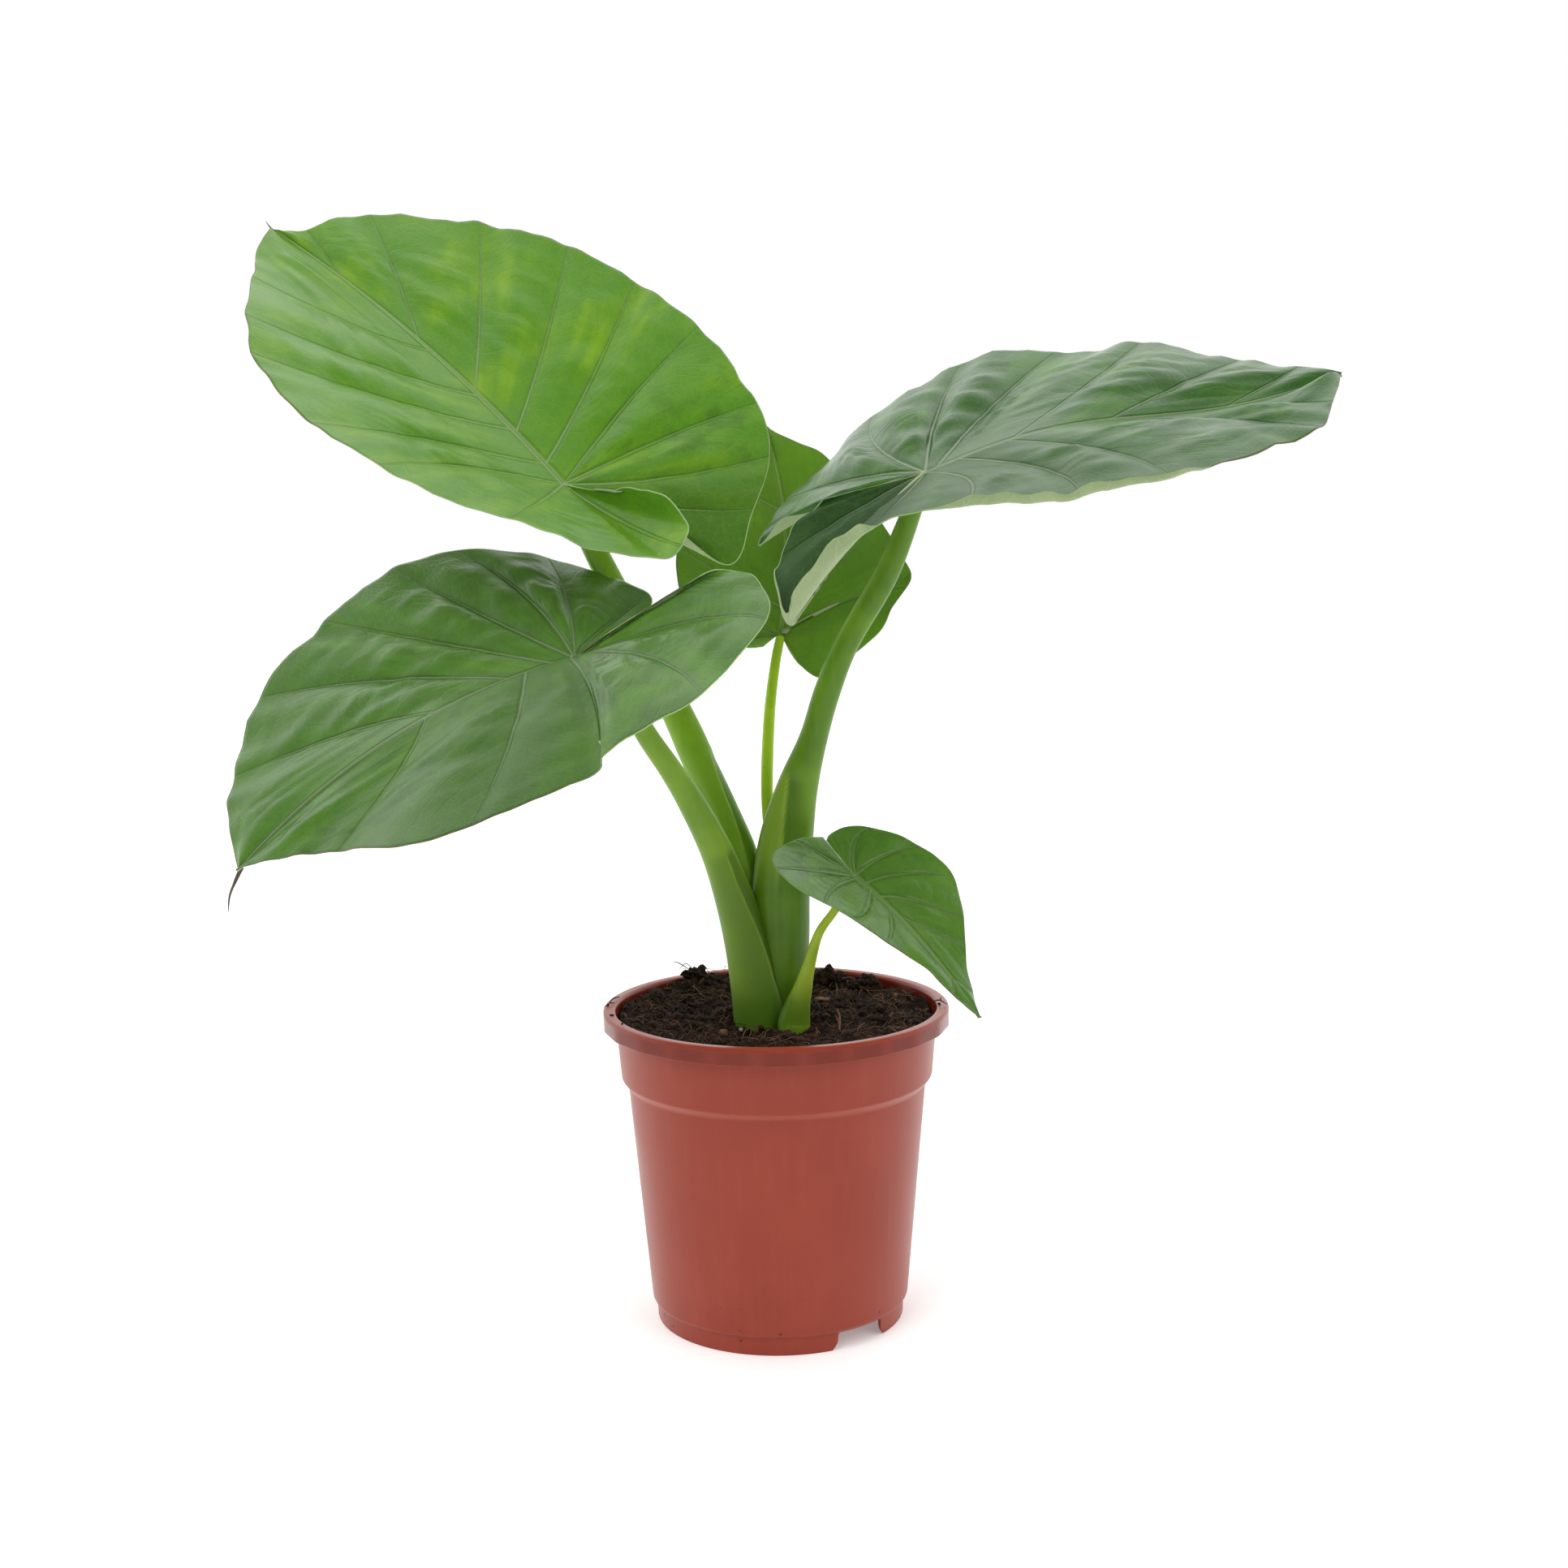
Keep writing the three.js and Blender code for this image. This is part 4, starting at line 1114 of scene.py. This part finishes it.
def midrib_at(leaf, share):
    """The midrib at a share of its length, in the leaf's frame."""
    bow = 4 * share * (1 - share)
    up = leaf["arch"] * bow + leaf["dip"] * math.sin(2 * math.pi * share)
    return np.array([leaf["length"] * share, leaf["sway"] * bow, up])


def leaf_place(leaf):
    """The turn and place of a leaf's frame."""
    turn = (
        Matrix.Rotation(math.radians(leaf["heading"]), 4, "Z")
        @ Matrix.Rotation(math.radians(-leaf["pitch"]), 4, "Y")
        @ Matrix.Rotation(math.radians(leaf["roll"]), 4, "X")
    )
    return Matrix.Translation(leaf["at"]) @ turn


def columns(half):
    """A half's columns from tip to notch, as phases among its veins and turns among its ribs."""
    stops = [0.0, *[place for place, _ in half["ribs"]], float(len(half["veins"]))]
    phases, turns = [], []
    for k, (low, high) in enumerate(zip(stops[:-1], stops[1:])):
        share = np.linspace(0, 1, columns_between_ribs * math.ceil(high - low), endpoint=False)
        eased = share - 0.7 * np.sin(2 * np.pi * share) / (2 * np.pi)
        phases += list(low + (high - low) * eased)
        turns += list(k + eased)
    return np.array([*phases, stops[-1]]), np.array([*turns, len(stops) - 1.0])


def rolled_rim(column, width):
    """A column of points with its outer end, of the given width, rolled up and back over itself."""
    runs = np.r_[0, np.cumsum(np.linalg.norm(np.diff(column, axis=0), axis=1))]
    radius = width / rolled_turn
    flat = runs[-1] - radius
    place = np.linspace(0, flat + width, len(column))
    laid = np.stack([np.interp(place, runs, column[:, k]) for k in range(3)], axis=1)
    start, before = (
        np.array([np.interp(s, runs, column[:, k]) for k in range(3)]) for s in (flat, flat - 3))
    outward = (start - before) / np.linalg.norm(start - before)
    upward = np.array([0, 0, 1.0]) - outward * outward[2]
    upward /= np.linalg.norm(upward)
    turned_by = np.maximum(place - flat, 0)[:, None] / radius
    curve = start + radius * (outward * np.sin(turned_by) + upward * (1 - np.cos(turned_by)))
    return np.where(turned_by > 0, curve, laid)


def half_blade(leaf, half, sign):
    """One half as a grid of points, with the phase and turn of each column and the secondary ribs' phase."""
    ends = [[leaf["length"], 0, 0, 0], *half["veins"]]
    vein_count = len(ends) - 1
    roots = [[1.0], *[[share] for share in leaf["shares"]], [0.0]]
    rib_bows = np.array([[0, 0], *half["ribs"], [vein_count, ends[-1][3]]]).T
    phases, turns = columns(half)
    v = np.linspace(0, 1, rows_across + 1)
    body = np.sin(np.pi * np.clip(v * 1.1, 0, 1)) ** 0.6
    rim = np.array([along(ends, phase / vein_count)[:2] for phase in phases])
    rim_run = np.r_[0, np.cumsum(np.linalg.norm(np.diff(rim, axis=0), axis=1))] / rim_wave
    grid = np.zeros((len(phases), rows_across + 1, 3))
    secondary = np.zeros((len(phases), rows_across + 1))
    for c, (phase, turn) in enumerate(zip(phases, turns)):
        root = midrib_at(leaf, float(np.clip(along(roots, phase / (len(roots) - 1))[0], 0, 1)))
        forward, side, up, _ = along(ends, phase / vein_count)
        bow = np.interp(phase, *rib_bows)
        curl = np.interp(phase, *np.array(half["curl"]).T)
        near = min(int(phase), vein_count - 1)
        spread = math.dist(ends[near][:2], ends[near + 1][:2]) / quilt_spacing
        room = np.minimum(v * spread, 1.5)
        middle = 1 - abs(2 * (turn % 1) - 1)
        between = abs(math.sin(math.pi * turn))
        length = math.hypot(forward - root[0], side)
        drift = np.array([noise.noise(Vector((1.3 * turn, length * t / 22, 5 * sign))) for t in v])
        fold = np.array([noise.noise(Vector((1.7 * turn, length * t / 14, 9 * sign))) for t in v])
        secondary[c] = length * v * (1 - 0.25 * middle) / secondary_spacing + 1.8 * drift
        relief = leaf["quilt"] * between * np.sin(np.pi * v)
        relief += leaf["pucker"] * body * fold * (0.3 + 0.7 * between)
        relief -= leaf["secondary"] * body * np.cos(2 * np.pi * secondary[c]) * (0.15 + 0.85 * between)
        frill = noise.noise(Vector((rim_run[c], 3 * sign, leaf["length"])))
        flutter = noise.noise(Vector((1.6 * rim_run[c], 7 * sign, leaf["length"])))
        out = v * (1 + rim_frill * frill * v ** 3)
        grid[c, :, 0] = root[0] + (forward - root[0]) * out + 2 * bow * v * (1 - v)
        grid[c, :, 1] = root[1] + (sign * side - root[1]) * out
        grid[c, :, 2] = (
            root[2] + (up - root[2]) * v ** curl + relief * room
            + half["ripple"] * math.sin(2.3 * phase + sign) * v ** 3 + rim_flutter * flutter * v ** 5
        )
        width = np.interp(phase, *np.array(half["rolls"]).T) if "rolls" in half else 0
        if width > 0.3:
            grid[c] = rolled_rim(grid[c], width * (1 + 0.6 * flutter))
    return grid, phases, turns, secondary


def rim_finder(grids):
    """A search tree over finely spaced points along the blade's whole edge."""
    edge = []
    for grid in grids:
        for line in (grid[:, -1], grid[-1, :]):
            for a, b in zip(line[:-1], line[1:]):
                edge += [a + (b - a) * t for t in np.linspace(0, 1, 5)]
    tree = kdtree.KDTree(len(edge))
    for i, point in enumerate(edge):
        tree.insert(point, i)
    tree.balance()
    return tree


def half_fields(leaf, half, sign, grid, phases, turns, secondary, edge):
    """A half's rib distances, places among the ribs, reach to the tip, tone and thickness, point by point."""
    across = np.linspace(0, 1, rows_across + 1)[None, :]
    speed = np.linalg.norm(np.gradient(grid, phases, axis=0), axis=2)
    off_rib = np.min(np.abs(phases[:, None] - np.array(half["ribs"])[None, :, 0]), axis=1)
    from_rib = speed * off_rib[:, None]
    x, y = grid[..., 0], grid[..., 1]
    reach = np.clip(x / leaf["length"], 0, 1)
    from_midrib = np.where(x > 0, np.abs(y - leaf["sway"] * 4 * reach * (1 - reach)), np.hypot(x, y))
    from_rim = np.array([edge.find(p)[2] for p in grid.reshape(-1, 3)]).reshape(x.shape)
    distances = np.stack([
        from_rib / (vein_half_width * (1 - 0.72 * across)),
        from_midrib / (midrib_half_width * (1 - 0.8 * reach)),
        from_rim], axis=2)
    turned_round = np.broadcast_to(turns[:, None] + (20 if sign < 0 else 0), x.shape)
    places = np.stack([turned_round, np.broadcast_to(across, x.shape), secondary], axis=2)
    rib = np.exp(-(from_midrib / (4.5 - 3.2 * reach)) ** 2) * (1 - 0.75 * reach) * (reach > 0)
    rib = np.maximum(rib, np.exp(-np.hypot(x, y) / 6))
    rib = np.maximum(rib, 0.45 * np.exp(-(from_rib / 1.6) ** 2) * (1 - across))
    tone = np.broadcast_to(np.interp(phases, *np.array(half["tones"]).T)[:, None], x.shape)
    return distances, places, reach, tone, rib


def make_blade(name, leaf, face, under):
    """A closed blade: its upper surface, ribs and a thin rim, with its fields as attributes."""
    halves = [(leaf["left"], 1), (leaf["right"], -1)]
    built = [half_blade(leaf, half, sign) for half, sign in halves]
    edge = rim_finder([grid for grid, *_ in built])
    points, faces = [], []
    distances, places, reaches, tones, ribs = fields = [[] for _ in range(5)]
    rows = rows_across + 1
    for (half, sign), (grid, phases, turns, secondary) in zip(halves, built):
        start = len(points)
        points += grid.reshape(-1, 3).tolist()
        found = half_fields(leaf, half, sign, grid, phases, turns, secondary, edge)
        for kept, values in zip(fields, found):
            kept += values.ravel().tolist()
        for c in range(len(phases) - 1):
            for r in range(rows_across):
                a = start + c * rows + r
                quad = (a, a + rows, a + rows + 1, a + 1)
                faces.append(quad if sign < 0 else quad[::-1])
    place = leaf_place(leaf)
    made = mesh_object(f"{name}_blade", [place @ Vector(p) for p in points], faces)
    store(made, "rib_distance", distances, "FLOAT_VECTOR")
    store(made, "rib_place", places, "FLOAT_VECTOR")
    store(made, "reach", reaches)
    store(made, "tone", tones)
    thick = made.vertex_groups.new(name="rib")
    least = blade_thickness / rib_thickness
    for i, rib in enumerate(ribs):
        thick.add([i], least + (1 - least) * min(rib, 1.0), "REPLACE")
    with edited(made) as shape:
        bmesh.ops.remove_doubles(shape, verts=shape.verts, dist=weld)
        bmesh.ops.dissolve_degenerate(shape, edges=shape.edges, dist=weld)
    made.data.materials.append(face)
    made.data.materials.append(under)
    shell = made.modifiers.new("shell", "SOLIDIFY")
    shell.thickness = rib_thickness * mm
    shell.offset = -1
    shell.vertex_group = "rib"
    shell.material_offset = 1
    as_plain_mesh(made)
    return made


def make_rib_masks():
    """Masks over a blade from its fields: ribs large and small, furrows, rim, net, streaks and lobes."""
    group, given, out = new_group(
        "leaf_ribs", "ShaderNodeTree",
        {"Vector": ("NodeSocketVector", None), "Vein Width": ("NodeSocketFloat", 1.0),
         "Midrib Width": ("NodeSocketFloat", 1.0), "Rim Width": ("NodeSocketFloat", 0.5)},
        {label: "NodeSocketFloat" for label in (
            "Midrib", "Vein", "Furrow", "Shaded", "Rim", "Secondary", "Net", "Streaks", "Wrinkle Shade", "Lobe")})
    from_vein, from_midrib, from_rim = split(group, stored(group, "rib_distance", "Vector"))
    turn, across, secondary = split(group, stored(group, "rib_place", "Vector"))
    centred = minus(group, fine_grain(group, given["Vector"], 90.0), 0.5)
    from_vein = plus(group, from_vein, times(group, centred, 0.9))
    crossed = maths(group, "PINGPONG", secondary, 0.5)
    cells = node(group, "ShaderNodeTexVoronoi", {"Vector": given["Vector"], "Scale": 230.0},
                 feature="DISTANCE_TO_EDGE").outputs["Distance"]
    past_rib = maths(group, "LESS_THAN", maths(group, "FRACT", turn), 0.5)

    def within(distance, width, full, gone):
        """1 up to a share of the width from a line, and 0 past another."""
        return ranged(group, distance, times(group, width, full), times(group, width, gone), 1.0, 0.0)

    def drawn(along_turn, along_ribs):
        """Coordinates that run with the ribs."""
        shares = {0: times(group, turn, along_turn), 1: times(group, across, along_ribs), 2: centred}
        return node(group, "ShaderNodeCombineXYZ", shares).outputs[0]

    vein, midrib, rim = given["Vein Width"], given["Midrib Width"], given["Rim Width"]
    beside_vein = within(from_vein, vein, 1.0, 3.5)
    off_midrib = ranged(group, across, 0.04, 0.25)
    masks = {
        "Midrib": within(from_midrib, midrib, 0.5, 1.0),
        "Vein": times(group, within(from_vein, vein, 0.4, 1.0), ranged(group, across, 0.05, 0.9, 1.0, 0.45)),
        "Furrow": maths(group, "MAXIMUM", beside_vein, within(from_midrib, midrib, 1.0, 2.2)),
        "Shaded": times(group, beside_vein, past_rib),
        "Rim": within(from_rim, rim, 0.4, 1.0),
        "Secondary": times(group, ranged(group, crossed, 0.0, 0.10, 1.0, 0.0), off_midrib),
        "Net": ranged(group, cells, 0.0, 0.09, 1.0, 0.0),
        "Streaks": mottled(group, drawn(3.4, 1.9), 1.0, 0.36, 0.74),
        # Patches for the painted shade of wrinkles.
        "Wrinkle Shade": mottled(group, drawn(2.6, 5.5), 1.0, 0.46, 0.68),
        "Lobe": ranged(group, stored(group, "reach"), 0.0, 0.3, 1.0, 0.0),
    }
    for label, mask in masks.items():
        group.links.new(mask, out.inputs[label])
    return group


rib_masks = make_rib_masks()


def new_leaf_material(name, shine, vein_width, midrib_width, rim_width):
    """A leaf skin's material that a little light passes through, with its rib masks."""
    material, tree, shader, here = new_material(
        name, Specular_IOR_Level=shine, Subsurface_Weight=0.1, Subsurface_Scale=0.002)
    shader.inputs["Subsurface Radius"].default_value = (0.5, 1.0, 0.2)
    widths = {"Vein Width": vein_width, "Midrib Width": midrib_width, "Rim Width": rim_width}
    return material, tree, shader, here, placed(tree, rib_masks, {"Vector": here, **widths})


def make_leaf_face(name, deep, fresh, pale, freshness, roughness, lobe_rim_highlight):
    """The waxy upper side: deep green, fresher in streaks between the pale ribs, with a thin rim, painted
    shade in its furrows, creases, wrinkles and hidden parts, and a painted highlight on the lobes' rim.
    """
    material, tree, shader, here, ribs = new_leaf_material(name, 0.5, 1.0, 1.0, 0.5)
    tone = stored(tree, "tone")
    patches = mottled(tree, here, 17.0, 0.40, 0.64)
    blotches = mottled(tree, here, 85.0, 0.4, 0.7)
    share = times(tree, times(tree, patches, ribs["Streaks"]), freshness)
    share = plus(tree, share, times(tree, ribs["Streaks"], 0.12))
    share = plus(tree, share, times(tree, blotches, 0.12))
    fresher = times(tree, maths(tree, "MAXIMUM", tone, 0.0), patches)
    share = maths(tree, "ADD", share, times(tree, fresher, 0.5), clamp=True)
    # The dark green of the painted shade.
    dark = tuple(0.45 * c for c in deep)
    light = tuple(1.4 * c for c in fresh)
    # Painted shade: dark wrinkles where the tone is below 0, and a deep shade that is also rougher where it
    # is below -1.
    wrinkle_shade = times(tree, ranged(tree, tone, -1.0, 0.0, 0.5, 0.0), ribs["Wrinkle Shade"])
    hidden = ranged(tree, tone, -2.0, -1.0, 0.85, 0.0)
    colour = mixed(tree, share, deep, fresh)
    colour = mixed(tree, maths(tree, "MAXIMUM", wrinkle_shade, hidden), colour, dark)
    # The rim is brown along the margin, with a painted highlight on the lobes.
    rim = mixed(tree, ribs["Lobe"], (0.13, 0.10, 0.06), lobe_rim_highlight)
    # Painted shade darkens the furrows beside the ribs, one side of each rib and the creases between the fine
    # crossing ribs.
    for mask, strength, tint in (
        ("Furrow", 0.22, dark), ("Shaded", 0.15, dark), ("Secondary", 0.07, dark), ("Net", 0.08, light),
        ("Vein", 0.75, pale), ("Midrib", 0.85, pale), ("Rim", 0.8, rim),
    ):
        colour = tinted(tree, colour, ribs[mask], strength, tint)
    rough = ranged(tree, patches, 0.0, 1.0, roughness, roughness + 0.07)
    rough = plus(tree, rough, times(tree, hidden, 0.45))
    height = times(tree, fine_grain(tree, here, 600.0), 0.06)
    for mask, rise in (("Furrow", -0.8), ("Vein", 0.45), ("Secondary", -0.12), ("Net", -0.08)):
        height = plus(tree, height, times(tree, ribs[mask], rise))
    feed(tree, shader, colour, rough, height, 0.55, 0.0008)
    return material


def make_leaf_underside(name):
    """The dull, pale underside with raised lighter ribs."""
    material, tree, shader, here, ribs = new_leaf_material(name, 0.3, 1.8, 2.2, 0.8)
    patches = mottled(tree, here, 40.0)
    colour = mixed(tree, patches, (0.27, 0.35, 0.17), (0.32, 0.40, 0.205))
    colour = tinted(tree, colour, ribs["Secondary"], 0.4, (0.40, 0.47, 0.27))
    on_rib = maths(tree, "MAXIMUM", times(tree, ribs["Vein"], 0.7), ribs["Midrib"])
    colour = tinted(tree, colour, on_rib, 0.8, (0.44, 0.51, 0.27))
    height = times(tree, ribs["Net"], 0.2)
    for mask, rise in (("Vein", 0.6), ("Secondary", 0.4)):
        height = plus(tree, height, times(tree, ribs[mask], rise))
    feed(tree, shader, colour, ranged(tree, patches, 0.0, 1.0, 0.5, 0.6), height, 0.5, 0.0008)
    return material


leaf_under = make_leaf_underside("leaf_underside")
# Each face's deep and fresh green, its pale ribs, how fresh its streaks are, its
# roughness and the painted highlight on its lobes' rim.
leaf_finishes = {
    "upper_left": ((0.088, 0.250, 0.012), (0.20, 0.38, 0.008), (0.23, 0.37, 0.12), 0.6, 0.34,
                   (0.36, 0.50, 0.22)),
    "lower_left": ((0.068, 0.166, 0.025), (0.12, 0.28, 0.018), (0.20, 0.26, 0.14), 0.5, 0.26,
                   (0.36, 0.50, 0.22)),
    "right": ((0.028, 0.105, 0.012), (0.085, 0.23, 0.010), (0.22, 0.30, 0.14), 0.6, 0.29,
              (0.30, 0.42, 0.20)),
    "back": ((0.105, 0.240, 0.012), (0.17, 0.34, 0.014), (0.18, 0.32, 0.06), 0.6, 0.38,
             (0.12, 0.24, 0.03)),
    "small": ((0.065, 0.165, 0.016), (0.13, 0.28, 0.016), (0.13, 0.235, 0.06), 0.6, 0.26,
              (0.18, 0.30, 0.09)),
}
# Dry threads that two of the tips run out into, given as the soil's strands are.
dry_tip = make_dull_finish("dry_tip", (0.075, 0.065, 0.050), (0.16, 0.15, 0.12))
tip_threads = {
    "upper_left": [(0.8, 0, [[-267, 175.5, 549.2], [-269.6, 177.3, 551.6], [-272.2, 178, 555]])],
    "lower_left": [(1.1, 0, [[-240.5, -75, 241.8], [-243.6, -76, 235.4], [-246.4, -76, 228.8],
                             [-247.3, -76, 221.8]])],
}
for name, leaf in leaves.items():
    face = make_leaf_face(f"{name}_leaf_face", *leaf_finishes[name])
    finish_piece(make_blade(name, leaf, face, leaf_under), None, "leaf_blade", f"{name}_leaf_blade")
    if name in tip_threads:
        finish_piece(make_strands(f"{name}_tip_thread", tip_threads[name], True), dry_tip, "leaf_blade")

# ---- Studio -----------------------------------------------------------------
# A pale floor that runs into a white surround: bright behind and at the
# sides, dim overhead and dark on the camera's side, with two wide soft lamps
# in front, as for a catalogue picture on white.
floor_size = 8.0
floor_glow = 0.25
front_strength = 0.10
back_strength = 1.50
paper_tone = 0.93
left_lamp = {"turn": (42, 0, -40), "strength": 1.5, "spread": 40}
right_lamp = {"turn": (52, 0, 50), "strength": 0.8, "spread": 40}

floor_mesh = bpy.data.meshes.new("studio_floor")
half = floor_size / 2
floor_corners = [(-half, -half, 0), (half, -half, 0), (half, half, 0), (-half, half, 0)]
floor_mesh.from_pydata(floor_corners, [], [(0, 1, 2, 3)])
floor = new_object("studio_floor", floor_mesh)
paper, _, paper_shader, _ = new_material("pale_paper", Roughness=0.8, Specular_IOR_Level=0.1)
paper_shader.inputs["Base Color"].default_value = (paper_tone, paper_tone, paper_tone, 1.0)
paper_shader.inputs["Emission Color"].default_value = (1.0, 1.0, 1.0, 1.0)
paper_shader.inputs["Emission Strength"].default_value = floor_glow
floor_mesh.materials.append(paper)


def make_surround():
    """A world that is white to the camera, and lights mostly from its back and its sides."""
    world = bpy.data.worlds.new("white_surround")
    world.use_nodes = True
    tree = world.node_tree
    background = tree.nodes["Background"]
    way = tree.nodes.new("ShaderNodeTexCoord").outputs["Generated"]
    _, backwards, upwards = split(tree, way)
    place = minus(tree, backwards, times(tree, upwards, 0.3))
    light = ranged(tree, place, -0.8, 0.5, front_strength, back_strength)
    seen = tree.nodes.new("ShaderNodeLightPath").outputs["Is Camera Ray"]
    strength = node(tree, "ShaderNodeMix", {0: seen, 2: light, 3: 1.0}, data_type="FLOAT").outputs[0]
    background.inputs["Color"].default_value = (1.0, 1.0, 1.0, 1.0)
    tree.links.new(strength, background.inputs["Strength"])
    return world


def wide_lamp(name, turn, strength, spread):
    """A distant lamp, as wide as a soft box seen from the plant, and without a glint of its own."""
    lamp = bpy.data.lights.new(name, "SUN")
    lamp.energy = strength
    lamp.angle = math.radians(spread)
    made = new_object(name, lamp)
    made.rotation_euler = [math.radians(angle) for angle in turn]
    made.visible_glossy = False


bpy.context.scene.world = make_surround()
wide_lamp("left_lamp", **left_lamp)
wide_lamp("right_lamp", **right_lamp)
bpy.context.scene.view_settings.view_transform = "Standard"
